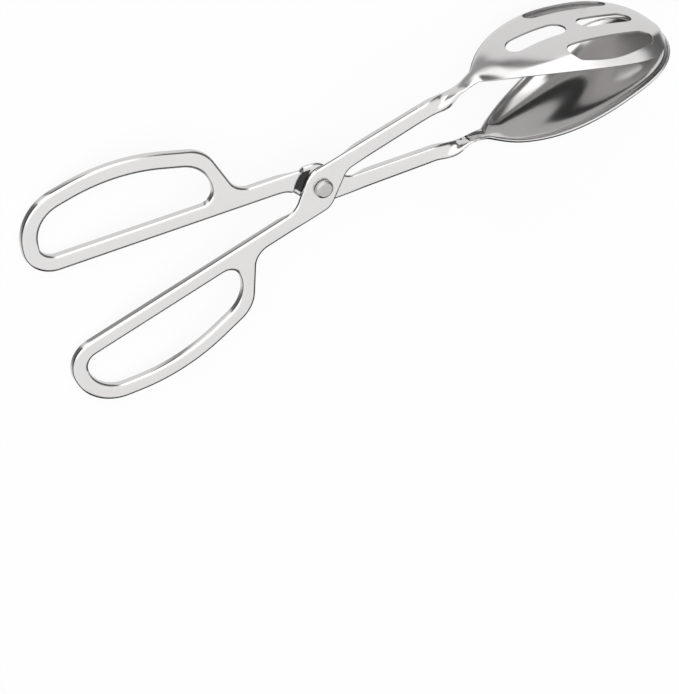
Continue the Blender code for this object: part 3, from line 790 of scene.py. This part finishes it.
def section_frame(x, lapped):
    """Middle, width axis and face axis of the section at x, and the way its face turns."""
    turn = smooth(TWIST_START, TWIST_END, x)
    sink = smooth(TWIST_END, BOWL_ROOT, x)
    extra = PLAIN_EXTRA * max(0.0, bowl_share(x)) if lapped else 0.0
    level = lap_drop((x, 0.0), lapped) * (1 - turn) + NECK_DROP * turn
    middle = np.array((
        x + extra,
        shank_middle(x) * (1 - turn) + rim_height(x, lapped) * turn,
        -level - (BOWL_DROP - NECK_DROP) * sink,
    ))
    lean = FORE_ANGLE * (1 - turn)
    outward = np.array((-math.sin(lean), math.cos(lean), 0.0))
    up = np.array((0.0, 0.0, 1.0))
    angle = math.pi / 2 * turn + NECK_OVERTURNS[int(lapped)] * turn * (1 - unfolding(x, lapped))
    sense = -1.0 if lapped else 1.0
    width_axis = outward * math.cos(angle) - up * (sense * math.sin(angle))
    face_axis = up * math.cos(angle) + outward * (sense * math.sin(angle))
    return middle, width_axis, face_axis, sense


print("widest half width", round(half_width(on_bowl(WIDEST_SHARE)), 1))

# %% [markdown]
# The spoon's surface is the bowl's profile, set on those sections. Its near wall, towards the
# camera, bends down along a crease that grows out of the round heel.

# %% The spoon's surface
def wall_profile(x, share, lapped):
    """Height across the bowl, as a share of its depth; the near wall grows a crease."""
    if lapped:
        return (1.0 - abs(share) ** PLAIN_WALL[0]) ** PLAIN_WALL[1]
    if share > 0.0:
        return (1.0 - share ** FAR_WALL[0]) ** FAR_WALL[1]
    share = -share
    heel = 1.0 - share ** HEEL_ROUND
    bend = math.log1p(math.exp((share - CREASE_SHARE) / CREASE_SOFT))
    whole = math.log1p(math.exp((1.0 - CREASE_SHARE) / CREASE_SOFT))
    creased = (1.0 - CROWN * share * share) * (1.0 - bend / whole)
    return heel + (creased - heel) * smooth(*WALL_SHARES, bowl_share(x))


def spoon_place(x, share, lapped):
    """A point of the spoon's middle surface; share runs across it from 1 to -1."""
    middle, width_axis, face_axis, sense = section_frame(x, lapped)
    height = sense * bowl_dip(x) * wall_profile(x, min(1.0, max(-1.0, share)), lapped)
    return middle + width_axis * (share * half_width(x)) + face_axis * height


def crowded(even):
    """Even places across the bowl, drawn together towards its steep walls."""
    return even + WALL_CROWDING * (math.sin(math.pi / 2 * even) - even)


def spoon_facing(x, even, lapped):
    """The middle surface's normal, from two short steps on it, on the side of the face."""
    step, stride, tip_gap = 0.004, 0.05, 0.06
    here = min(1.0 - step, max(step - 1.0, even))
    share = crowded(here)
    x = min(x, on_bowl(1.0) - tip_gap)
    along = spoon_place(x + stride, share, lapped) - spoon_place(x - stride, share, lapped)
    before = spoon_place(x, crowded(here - step), lapped)
    over = spoon_place(x, crowded(here + step), lapped) - before
    normal = np.cross(over, along)
    face_axis = section_frame(x, lapped)[2]
    if np.dot(normal, face_axis) < 0.0:
        normal = -normal
    return normal / np.linalg.norm(normal)


print("tip faces", spoon_facing(on_bowl(1.0), 0.0, False).round(2))

# %% [markdown]
# Rows of corners run across the arm, one to a section. In the neck each row mixes the
# channel's section with the bowl's. The rows end where the slots begin, because a slotted
# surface can't be ruled by plain rows.

# %% Rows from the shank to the bowl
TWIST_STATIONS = 26
NECK_STATIONS = 16
BOWL_STATIONS = 76
LEAD_STATIONS = 4
TIP_SHARE = 0.994
UNFOLD_SOFT = 0.3


def channel_section(width, count):
    """The folded channel's middle line, as offset from its middle and height."""
    rows = edge_profile(1.0)[0]
    side = [(width - inset, height) for inset, height, away, rise in rows]
    edge, level = side[-1]
    inner = count - 2 * len(side)
    web = [(edge * (1 - 2 * (i + 1) / (inner + 1)), level) for i in range(inner)]
    return side + web + [(-offset, height) for offset, height in side[::-1]]


def bowl_x(share):
    """Where a share of the bowl's rows stands: rows crowd towards the round tip."""
    return on_bowl(math.sin(math.pi / 2 * share * TIP_SHARE))


def spoon_row(sheet, x, channel):
    """One section's corners, from the near rim to the far one."""
    count = len(channel)
    middle, width_axis, face_axis, sense = section_frame(x, sheet.lapped)
    turn = smooth(TWIST_START, TWIST_END, x)
    unfolded = unfolding(x, sheet.lapped)
    in_bowl = unfolded >= 1.0
    row = []
    for column, (offset, height) in enumerate(channel):
        even = 1.0 - 2.0 * column / (count - 1)
        ahead_of = smooth(-UNFOLD_SOFT, UNFOLD_SOFT, even * sense)
        flat = unfolded + (max(unfolded, turn) - unfolded) * ahead_of
        gauge = SHEET + (BOWL_SHEET - SHEET) * flat
        pressed = spoon_place(x, crowded(even), sheet.lapped)
        folded = middle + width_axis * offset + face_axis * height
        place = folded * (1 - flat) + pressed * flat
        if in_bowl:
            facing = spoon_facing(x, even, sheet.lapped)
        else:
            away = width_axis * (1.0 if column < count / 2 else -1.0)
            steep = max(0.0, -height - SHEET / 2) * (1 - flat)
            facing = face_axis + away * steep
        row.append(sheet.corner(place, facing, gauge, EDGE_ROUND, in_bowl, flat))
    return row


def loft_neck(sheet, section, last_share):
    """Carry the shank's section on through the twist and into the bowl."""
    width = (FORE_OUTER - fore_inner(FORE_LENGTH)) / 2
    channel = channel_section(width, len(section))
    lead = [SHANK_END + NECK_LEAD * step / LEAD_STATIONS for step in range(1, LEAD_STATIONS)]
    twist = [TWIST_START + TWIST_RUN * step / TWIST_STATIONS for step in range(TWIST_STATIONS)]
    neck = [TWIST_END + NECK_RUN * step / NECK_STATIONS for step in range(NECK_STATIONS)]
    shares = [step / BOWL_STATIONS for step in range(BOWL_STATIONS + 1)]
    bowl = [bowl_x(share) for share in shares if share <= last_share]
    row = section
    for x in lead + twist + neck + bowl:
        next_row = spoon_row(sheet, x, channel)
        sheet.quads(row, next_row)
        row = next_row
    return row, len(bowl) - 1


print("rows in twist, neck and bowl", TWIST_STATIONS, NECK_STATIONS, BOWL_STATIONS)

# %% [markdown]
# ## Sums on node sockets
# Geometry and shader trees are both written as plain expressions. A wrapped socket adds the
# Math nodes itself, and every other node comes from one method.

# %% Wrapped sockets
class Value:
    """A node's output that can be used in sums."""

    def __init__(self, web, socket):
        self.web = web
        self.socket = socket

    def sum(self, operation, first, second):
        return self.web.node("ShaderNodeMath", {"operation": operation}, {0: first, 1: second})

    def __add__(self, other):
        return self.sum("ADD", self, other)

    def __radd__(self, other):
        return self.sum("ADD", other, self)

    def __sub__(self, other):
        return self.sum("SUBTRACT", self, other)

    def __rsub__(self, other):
        return self.sum("SUBTRACT", other, self)

    def __mul__(self, other):
        return self.sum("MULTIPLY", self, other)

    def __rmul__(self, other):
        return self.sum("MULTIPLY", other, self)

    def __truediv__(self, other):
        return self.sum("DIVIDE", self, other)

    def __rtruediv__(self, other):
        return self.sum("DIVIDE", other, self)


class Web:
    """A node tree and the nodes added to it."""

    def __init__(self, tree):
        self.tree = tree

    def node(self, kind, settings=None, sockets=None, output=0):
        """Any node: its settings first, then the values or links of its sockets."""
        made = self.tree.nodes.new(kind)
        for name, value in (settings or {}).items():
            setattr(made, name, value)
        for key, value in (sockets or {}).items():
            self.feed(made.inputs[key], value)
        return Value(self, made.outputs[output])

    def feed(self, socket, value):
        if isinstance(value, Value):
            self.tree.links.new(value.socket, socket)
        else:
            socket.default_value = value


# %% [markdown]
# A geometry tree has a named input for each size. It is run on an empty object, and the mesh
# that it makes is kept as a plain one.

# %% Geometry trees
def open_tree(name, sizes):
    """A geometry tree with one named float input per size, and those inputs as values."""
    tree = bpy.data.node_groups.new(name, "GeometryNodeTree")
    tree.interface.new_socket("Geometry", in_out="OUTPUT", socket_type="NodeSocketGeometry")
    for size, value in sizes.items():
        socket = tree.interface.new_socket(size, in_out="INPUT", socket_type="NodeSocketFloat")
        socket.default_value = value
    web = Web(tree)
    entry = tree.nodes.new("NodeGroupInput")
    return web, {size: Value(web, entry.outputs[size]) for size in sizes}


def close_tree(web, shape, material):
    """End the tree in Realize Instances and Set Material."""
    real = web.node("GeometryNodeRealizeInstances", None, {0: shape})
    dressed = web.node("GeometryNodeSetMaterial", None, {0: real, "Material": material})
    web.feed(web.tree.nodes.new("NodeGroupOutput").inputs[0], dressed)
    return web.tree


def grown(tree, sizes):
    """Run a tree with these sizes and give the plain mesh that it makes."""
    holder = bpy.data.objects.new(tree.name, bpy.data.meshes.new(tree.name))
    bpy.context.scene.collection.objects.link(holder)
    modifier = holder.modifiers.new(tree.name, "NODES")
    modifier.node_group = tree
    for item in tree.interface.items_tree:
        if item.in_out == "INPUT":
            modifier[item.identifier] = sizes[item.name]
    graph = bpy.context.evaluated_depsgraph_get()
    mesh = bpy.data.meshes.new_from_object(holder.evaluated_get(graph))
    bpy.data.objects.remove(holder)
    return mesh


# %% [markdown]
# ## The drain slots
# Four slots are punched in the upper spoon: two on its middle line and a D-shaped one on
# either side. A geometry tree draws the punch's plan, because the four openings follow one
# rule: a rectangle with rounded corners, whose outer side may bulge. The named inputs are
# its sizes, in millimetres along and across the spoon.

# %% The punch's plan
SLOT_RIB = 7.6
SLOT_SHIFT = 0.9
SLOT_FLAT = 0.01
SLOT_ROUND_STEPS = 16
SLOT_STEP = 0.55
ROOT_SLOT_WIDTH = 9.6
ROOT_SLOT_SHARES = (0.190, 0.519)
TIP_SLOT_WIDTH = 8.4
TIP_SLOT_SHARES = (0.590, 0.886)
SIDE_SLOT_INNER = ROOT_SLOT_WIDTH / 2 + SLOT_RIB
SIDE_SLOT_OUTER = 23.2
SIDE_SLOT_BULGE = 3.6
SIDE_SLOT_ROUND = 3.55
SIDE_SLOT_SHARES = (0.410, 0.869)


def slot_rule(shares, inner, outer, bulge, corner_round):
    """The punch's sizes, from shares of the bowl's length and distances from its middle."""
    return {"Width": outer - inner, "Start": on_bowl(shares[0]), "End": on_bowl(shares[1]),
            "Offset": (outer + inner) / 2, "Bulge": bulge, "Round": corner_round}


def round_slot(shares, width):
    return slot_rule(shares, -width / 2, width / 2, 0.0, width / 2 - SLOT_FLAT)


side_slot = slot_rule(SIDE_SLOT_SHARES, SIDE_SLOT_INNER, SIDE_SLOT_OUTER - SIDE_SLOT_BULGE,
                      SIDE_SLOT_BULGE, SIDE_SLOT_ROUND)
slot_rules = {
    "root": round_slot(ROOT_SLOT_SHARES, ROOT_SLOT_WIDTH),
    "tip": round_slot(TIP_SLOT_SHARES, TIP_SLOT_WIDTH),
    "side": side_slot,
}


def punch_tree(material):
    """One rounded slot; a bulge bows its outer side."""
    web, sizes = open_tree("drain_slot_punch", side_slot)
    length = sizes["End"] - sizes["Start"]
    middle = (sizes["End"] + sizes["Start"]) * 0.5
    outline = web.node("GeometryNodeCurvePrimitiveQuadrilateral", None,
                       {"Width": length, "Height": sizes["Width"]})
    rounding = {0: outline, "Count": SLOT_ROUND_STEPS, "Radius": sizes["Round"],
                "Limit Radius": True}
    outline = web.node("GeometryNodeFilletCurve", {"mode": "POLY"}, rounding)
    outline = web.node("GeometryNodeResampleCurve", {"mode": "LENGTH"},
                       {0: outline, "Length": SLOT_STEP})
    place = web.node("GeometryNodeInputPosition")
    x, y = (web.node("ShaderNodeSeparateXYZ", None, {0: place}, axis) for axis in (0, 1))
    along = x * 2.0 / length
    outer = y / sizes["Width"] + 0.5
    lift = (1.0 - along * along) * outer * sizes["Bulge"]
    shift = web.node("ShaderNodeCombineXYZ", None, {0: middle, 1: lift + sizes["Offset"]})
    outline = web.node("GeometryNodeSetPosition", None, {0: outline, "Offset": shift})
    plate = web.node("GeometryNodeFillCurve", {"mode": "NGONS"}, {0: outline})
    return close_tree(web, plate, material)


punch_mark = bpy.data.materials.new("punch_mark")
punch = punch_tree(punch_mark)
slot_outlines = []
for slot_name, sizes in slot_rules.items():
    plate = grown(punch, sizes)
    corners = [plate.vertices[index].co for index in plate.polygons[0].vertices]
    for hand in (1.0, -1.0) if slot_name == "side" else (1.0,):
        outline = [np.array((corner.x, hand * corner.y + SLOT_SHIFT)) for corner in corners]
        slot_outlines.append(outline)
    print(slot_name, "slot outline points", len(corners))

# %% [markdown]
# The slotted surface is filled in its own flat map: along the bowl's rows one way and
# across it the other. Each slot's outline is carried into that map and becomes an inner
# border. Every corner then goes back to the curved surface with its exact normal, so the
# polish shows no facets round the slots.

# %% Filling the slotted bowl
MAP_LENGTH = 95.0
MAP_WIDTH = 52.0
CLEAR_OF_SLOT = 0.5
BOWL_EDGE_ROUND = 0.22
# Painted shade on the near rim's and the slots' cut edges, darker than on other edges.
NEAR_RIM_PAINTED_SHADE = 1.2
SLOT_EDGE_PAINTED_SHADE = 1.0


def on_map(along, even):
    return np.array((along * MAP_LENGTH, even * MAP_WIDTH / 2))


def even_share(share):
    """The even place across the bowl whose crowded place is the share."""
    low, high = -1.0, 1.0
    for _ in range(40):
        middle = (low + high) / 2
        low, high = (middle, high) if crowded(middle) < share else (low, middle)
    return (low + high) / 2


def to_map(plan):
    """A place in plan, x and height over the bowl's middle, carried into the flat map."""
    along = math.asin(min(1.0, max(0.0, bowl_share(plan[0])))) / (math.pi / 2 * TIP_SHARE)
    return on_map(along, even_share(-plan[1] / half_width(plan[0])))


def map_corner(sheet, spot, grime=EDGE_PAINTED_SHADE):
    x = bowl_x(spot[0] / MAP_LENGTH)
    even = spot[1] / (MAP_WIDTH / 2)
    place = spoon_place(x, crowded(even), sheet.lapped)
    facing = spoon_facing(x, even, sheet.lapped)
    return sheet.corner(place, facing, BOWL_SHEET, BOWL_EDGE_ROUND, True, 1.0, grime)


def slotted_bowl(sheet, row, first):
    """Fill the bowl beyond its last plain row, round the four slots."""
    count = len(row)
    evens = [1.0 - 2.0 * column / (count - 1) for column in range(count)]
    alongs = [step / BOWL_STATIONS for step in range(first, BOWL_STATIONS + 1)]
    border = [(on_map(alongs[0], even), corner) for even, corner in zip(evens, row)]
    near_edge = [on_map(along, -1.0) for along in alongs[1:]]
    tip = [on_map(alongs[-1], even) for even in evens[-2:0:-1]]
    far_edge = [on_map(along, 1.0) for along in alongs[:0:-1]]
    border += [(place, map_corner(sheet, place, NEAR_RIM_PAINTED_SHADE)) for place in near_edge]
    border += [(place, map_corner(sheet, place)) for place in tip + far_edge]
    slots = [[to_map(plan) for plan in outline] for outline in slot_outlines]
    loops = [border]
    loops += [[(place, map_corner(sheet, place, SLOT_EDGE_PAINTED_SHADE)) for place in slot] for slot in slots]
    every = np.array([place for slot in slots for place in slot])
    loose = []
    for along in alongs[1:-1]:
        for even in evens[1:-1]:
            place = on_map(along, even)
            clear = np.linalg.norm(every - place, axis=1).min() > CLEAR_OF_SLOT
            if clear and not any(inside(place, slot) for slot in slots):
                loose.append((place, map_corner(sheet, place)))
    fill(sheet, loops, loose)


# %% [markdown]
# ## Both arms
# The two arms are the same pressing, mirrored. Only the plain one has the lap step, and only
# the upper spoon is punched. The hollow of the slotted spoon is hidden from the camera, but
# the plain spoon mirrors it dark, as the shade between the spoons falls on it. So it gets
# painted shade, darker farther past the shank, and a rougher finish. Each finished arm
# stands for its coarse node in the frame.

# %% Press the arms
PLAIN_ROWS_SHARE = 0.10
HOLLOW_PAINTED_SHADE = 0.8
HOLLOW_SHADE_RUN = 30.0


def skin_marks(sheet):
    """Polish and painted shade of every corner, on the face and then on the back."""
    plain = [0.0] * len(sheet.places)
    if sheet.lapped:
        return sheet.polishes + plain, sheet.shades + plain
    past = [place[0] - SHANK_END for place in sheet.places]
    bends = [polish if x < 0.0 else 0.0 for polish, x in zip(sheet.polishes, past)]
    # Painted shade on the slotted arm's back, growing past the shank, for the shade between the
    # spoons.
    hollow_shade = [HOLLOW_PAINTED_SHADE * min(1.0, max(0.0, x / HOLLOW_SHADE_RUN)) for x in past]
    return bends + plain, sheet.shades + hollow_shade


def pressed_arm(name, lapped):
    sheet = Sheet(lapped)
    section = flat_part(sheet)
    row, first = loft_neck(sheet, section, 1.0 if lapped else PLAIN_ROWS_SHARE)
    if not lapped:
        slotted_bowl(sheet, row, first)
    piece = placed_piece(name, *thickened(sheet, *skin_marks(sheet)))
    print(name, len(piece.data.polygons), "faces")
    return piece


slotted_steel = pressed_arm("slotted_arm_pressing", False)
plain_steel = pressed_arm("plain_arm_pressing", True)

# %% [markdown]
# ## The rivet
# The rivet is turned: a bevelled head, a shank through both bosses and an upset tail. A
# geometry tree sweeps its half section round a circle. The section's corners come from the
# named inputs, and Fillet Curve breaks them.

# %% Turn the rivet
rivet_sizes = {"Head": 7.3, "Top": 5.5, "Height": 2.2, "Lift": 0.3, "Skirt": 1.1, "Shank": 4.2,
               "Grip": 3.0, "Tail": 6.4, "Tail height": 1.2, "Break": 0.28}
BREAK_STEPS = 4
LATHE_STEPS = 96
LATHE_RADIUS = 0.01
LATHE_MERGE = 0.0005
SHARP_ANGLE = math.radians(40.0)


def rivet_tree(material):
    """The rivet's half section, run round a circle of next to no radius and closed there."""
    web, sizes = open_tree("turned_rivet", rivet_sizes)
    half = {key: sizes[key] * 0.5 for key in ("Head", "Top", "Shank", "Tail")}
    under = sizes["Grip"] * -1.0
    bottom = under - sizes["Tail height"]
    section = [
        (0.0, sizes["Height"]), (half["Top"], sizes["Height"]),
        (half["Head"], sizes["Lift"] + sizes["Skirt"]), (half["Head"], sizes["Lift"]),
        (half["Shank"], sizes["Lift"]), (half["Shank"], under),
        (half["Tail"], under), (half["Tail"], bottom), (0.0, bottom),
    ]
    switch = web.tree.nodes.new("GeometryNodeIndexSwitch")
    switch.data_type = "VECTOR"
    while len(switch.index_switch_items) < len(section):
        switch.index_switch_items.new()
    web.feed(switch.inputs[0], web.node("GeometryNodeInputIndex"))
    for index, (radius, height) in enumerate(section):
        spot = web.node("ShaderNodeCombineXYZ", None, {0: radius, 1: height * -1.0})
        web.feed(switch.inputs[index + 1], spot)
    line = web.node("GeometryNodeMeshLine", None, {"Count": len(section)})
    line = web.node("GeometryNodeSetPosition", None,
                    {0: line, "Position": Value(web, switch.outputs[0])})
    line = web.node("GeometryNodeMeshToCurve", None, {0: line})
    rounding = {0: line, "Count": BREAK_STEPS, "Radius": sizes["Break"], "Limit Radius": True}
    line = web.node("GeometryNodeFilletCurve", {"mode": "POLY"}, rounding)
    shift = web.node("GeometryNodeTransform", None,
                     {0: line, "Translation": (-LATHE_RADIUS, 0.0, 0.0)})
    circle = web.node("GeometryNodeCurvePrimitiveCircle", None,
                      {"Resolution": LATHE_STEPS, "Radius": LATHE_RADIUS})
    lathe = web.node("GeometryNodeCurveToMesh", None, {0: circle, 1: shift})
    lathe = web.node("GeometryNodeMergeByDistance", None, {0: lathe, "Distance": LATHE_MERGE})
    return close_tree(web, lathe, material)


rivet_mesh = grown(rivet_tree(punch_mark), rivet_sizes)
rivet_mesh.transform(to_world @ Matrix.Scale(MM, 4))
rivet_mesh.name = "turned_rivet"
rivet = bpy.data.objects.new("turned_rivet", rivet_mesh)
bpy.context.scene.collection.objects.link(rivet)
rivet_mesh.shade_smooth()
rivet_mesh.set_sharp_from_angle(angle=SHARP_ANGLE)
print("rivet faces", len(rivet_mesh.polygons))

# %% [markdown]
# ## Finishes
# A finish is a node tree with the shader that it ends in. Each metal starts from a plain
# colour and roughness, and what varies over the surface is fed to the shader's sockets.

# %% Finishes
class Finish(Web):
    """A node tree, the shader that it ends in, and the nodes that feed it."""

    def __init__(self, tree, shader):
        super().__init__(tree)
        self.shader = shader

    def wear(self, **values):
        """Feed the shader's sockets; an underscore stands for a space."""
        for name, value in values.items():
            self.feed(self.shader.inputs[name.replace("_", " ")], value)

    def ease(self, value, start, end):
        """A soft step from 0 at start to 1 at end."""
        return self.node("ShaderNodeMapRange", {"interpolation_type": "SMOOTHSTEP"},
                         {"Value": value, "From Min": start, "From Max": end})


def metal(name, colour, roughness, metallic=1.0):
    """A new material on the standard shader."""
    material = bpy.data.materials.new(name)
    material.use_nodes = True
    finish = Finish(material.node_tree, material.node_tree.nodes["Principled BSDF"])
    finish.wear(Base_Color=(*colour, 1.0), Metallic=metallic, Roughness=roughness)
    return material, finish


# %% [markdown]
# Satin steel carries fine polishing lines along the arm and soft blotches where the mop
# pressed harder. It is smoother where the corners are marked polished, on the rounded bends
# and the spoons. Where they carry painted shade, it is painted darker and made rougher.
# Lengths here are metres.

# %% Satin steel
STEEL = (0.80, 0.787, 0.783)
RIVET_STEEL = (0.57, 0.555, 0.55)
RIVET_ROUGH = 0.28
SMOOTH_ROUGH = 0.11
BRUSHED_ROUGH = 0.12
PAINTED_SHADE_ROUGH = 0.15
LINE_ROUGH = 0.08
LINE_SCALE = (120.0, 2600.0, 2600.0)
LINE_BUMP = {"Strength": 0.03, "Distance": 0.0001}
BLOTCH_SCALE = 120.0
BLOTCH_TONE = 0.05
PAINTED_SHADE_TONE = 0.6


def satin_finish():
    material, finish = metal("satin_steel_sheet", STEEL, SMOOTH_ROUGH + BRUSHED_ROUGH)
    place = finish.node("ShaderNodeTexCoord", None, None, "Object")
    stretched = finish.node("ShaderNodeMapping", None, {"Vector": place, "Scale": LINE_SCALE})
    lines = finish.node("ShaderNodeTexNoise", None,
                        {"Vector": stretched, "Scale": 1.0, "Detail": 3.0})
    blotches = finish.node("ShaderNodeTexNoise", None,
                           {"Vector": place, "Scale": BLOTCH_SCALE, "Detail": 2.0})
    polish = finish.node("ShaderNodeAttribute", {"attribute_name": "polish"}, None, "Fac")
    # The painted shade mark: it darkens the colour and roughens the steel.
    painted_shade = finish.node("ShaderNodeAttribute", {"attribute_name": "painted_shade"}, None, "Fac")
    brushed = 1.0 - polish
    rough = SMOOTH_ROUGH + brushed * BRUSHED_ROUGH + painted_shade * PAINTED_SHADE_ROUGH
    rough += (lines - 0.5) * brushed * LINE_ROUGH
    # Painted shade darkens the colour where it is marked.
    tone = (1.0 + (blotches - 0.5) * BLOTCH_TONE) * (1.0 - painted_shade * PAINTED_SHADE_TONE)
    colour = finish.node("ShaderNodeVectorMath", {"operation": "SCALE"},
                         {0: STEEL, "Scale": tone})
    bumps = finish.node("ShaderNodeBump", None, {**LINE_BUMP, "Height": lines * brushed})
    finish.wear(Roughness=rough, Base_Color=colour, Normal=bumps)
    return material


satin = satin_finish()
turned = metal("rivet_steel_turned", RIVET_STEEL, RIVET_ROUGH)[0]
for piece, node, body, slot, material in (
    (slotted_steel, "slotted_arm", "slotted", "satin_steel", satin),
    (plain_steel, "plain_arm", "root", "satin_steel", satin),
    (rivet, "pivot_rivet", "root", "rivet_steel", turned),
):
    piece.data.materials.clear()
    piece.data.materials.append(material)
    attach(piece, body)
    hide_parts(node)
    print(piece.name, "rides on", body, "as", slot)

# %% [markdown]
# ## Studio
# The photograph has a pure white ground. The floor is white paper: the camera sees it nearly
# at full white, with the tongs' soft shadow left on it, and it isn't seen in the steel.

# %% Floor
FLOOR_SIZE = 6.0
FLOOR_GAP = 0.0002
PAPER = 0.96
GLOW_SHARE = 0.9
WHITE = (1.0, 1.0, 1.0, 1.0)

bpy.ops.mesh.primitive_plane_add(size=FLOOR_SIZE, location=(0.0, 0.0, -FLOOR_GAP))
floor = bpy.context.object
floor.name = "studio_floor"
floor.visible_glossy = False
paper, paper_finish = metal("floor_paper", (PAPER, PAPER, PAPER), 0.9, 0.0)
glow = paper_finish.node("ShaderNodeEmission", None, {"Color": WHITE, "Strength": 1.0})
seen = paper_finish.node("ShaderNodeLightPath", None, None, "Is Camera Ray")
shaded = Value(paper_finish, paper_finish.shader.outputs[0])
ground = paper_finish.node("ShaderNodeMixShader", None,
                           {0: seen * GLOW_SHARE, 1: shaded, 2: glow})
paper_finish.feed(paper.node_tree.nodes["Material Output"].inputs["Surface"], ground)
floor.data.materials.append(paper)
floor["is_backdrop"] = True
print("floor", FLOOR_SIZE, "m wide")

# %% [markdown]
# Between the spoons stand a light grey and a black card, which only reflections show. They
# are painted shade: they stand in for the floor in shade between the spoons, and draw the
# dark band in the plain spoon and the light grey below it.

# %% Painted shade cards between the spoons
CARD_SPAN = (0.070, 0.012, 1.0)
CARD_X = 0.090

for name, grey, across_y in (("grey_shade_card", 0.8, -0.004), ("black_shade_card", 0.03, 0.008)):
    bpy.ops.mesh.primitive_plane_add(size=1.0, location=(CARD_X, across_y, 0.0))
    board = bpy.context.object
    board.name = name
    board.scale = CARD_SPAN
    board.data.materials.append(metal(name, (grey, grey, grey), 1.0, 0.0)[0])
    board.visible_camera = board.visible_diffuse = board.visible_shadow = False
    board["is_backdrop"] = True
    print(name, "grey", grey)

# %% [markdown]
# The steel mirrors the room: light walls with a bright window behind the camera, a dark gap
# along the left of the horizon with a notch left light, a dark card below the camera, and
# black cards beyond the spoons and behind the tongs. They draw the dark tones of the spoons
# and the thin dark lines along the edges. A card is given by its azimuth, elevation, radius
# and soft edge in degrees, and a height by the sine of the elevation, from the start to the
# end of its soft edge.

# %% Room
WINDOW = (112.0, 24.0, 44.0, 12.0)
LOW_CARD = (135.0, -38.0, 30.0, 30.0)
SPOON_CARD = (8.0, 16.0, 36.0, 14.0)
SPOON_CARD_TOP = (0.40, 0.66)
BACK_CARD = (-80.0, -4.0, 38.0, 8.0)
LEFT_FROM = 79.0
GAP_FOOT = (-0.50, -0.40)
GAP_TOP = (0.02, 0.10)
NOTCH_SIDES = (94.0, 120.0)
NOTCH_TOP = (0.1, 0.2)
SIDE_SOFT = 0.03
WALL_LIGHT = 0.80
UPPER_LIGHT = 0.15
UPPER_FROM = (-0.1, 0.2)
WINDOW_LIGHT = 0.45


def toward(azimuth, elevation):
    """The direction at an azimuth from +X and a height over the horizon, in degrees."""
    turn, rise = math.radians(azimuth), math.radians(elevation)
    return (math.cos(turn) * math.cos(rise), math.sin(turn) * math.cos(rise), math.sin(rise))


world = bpy.data.worlds.new("studio")
bpy.context.scene.world = world
world.use_nodes = True
room = Finish(world.node_tree, world.node_tree.nodes["Background"])
way = room.node("ShaderNodeTexCoord", None, None, "Generated")
height = room.node("ShaderNodeSeparateXYZ", None, {0: way}, 2)


def card(azimuth, elevation, reach, soft):
    """1 inside a round soft-edged card in that direction, 0 outside it."""
    aim = room.node("ShaderNodeVectorMath", {"operation": "DOT_PRODUCT"},
                    {0: way, 1: toward(azimuth, elevation)}, "Value")
    far, near = math.cos(math.radians(reach + soft)), math.cos(math.radians(reach))
    return room.ease(aim, far, near)


def beyond(azimuth):
    """1 on the left of a standing line at that azimuth, 0 on its right."""
    aim = room.node("ShaderNodeVectorMath", {"operation": "DOT_PRODUCT"},
                    {0: way, 1: toward(azimuth + 90.0, 0.0)}, "Value")
    return room.ease(aim, -SIDE_SOFT, SIDE_SOFT)


left = beyond(LEFT_FROM)
notch = beyond(NOTCH_SIDES[0]) * (1.0 - beyond(NOTCH_SIDES[1]))
notch = notch * (1.0 - room.ease(height, *NOTCH_TOP))
gap = left * room.ease(height, *GAP_FOOT) * (1.0 - room.ease(height, *GAP_TOP))
light = WALL_LIGHT + room.ease(height, *UPPER_FROM) * UPPER_LIGHT
light = light + card(*WINDOW) * WINDOW_LIGHT
for dark, depth in (
    (gap * (1.0 - notch), 0.85),
    (card(*LOW_CARD) * left * (1.0 - notch), 0.82),
    (card(*SPOON_CARD) * (1.0 - room.ease(height, *SPOON_CARD_TOP)), 0.86),
    (card(*BACK_CARD), 0.95),
):
    light = light * (1.0 - dark * depth)
rays = room.node("ShaderNodeLightPath", None, None, "Is Camera Ray")
room.wear(Color=WHITE, Strength=light * (1.0 - rays) + rays)
bpy.context.scene.view_settings.view_transform = "Standard"
print("room nodes", len(world.node_tree.nodes))

# %% [markdown]
# ## Sizes
# The new mesh has to stay inside the frame's box.

# %% Sizes
sizes = {
    "frame": [list(corner) for corner in frame_box],
    "visual": [list(corner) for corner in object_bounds()],
}
print(sizes)
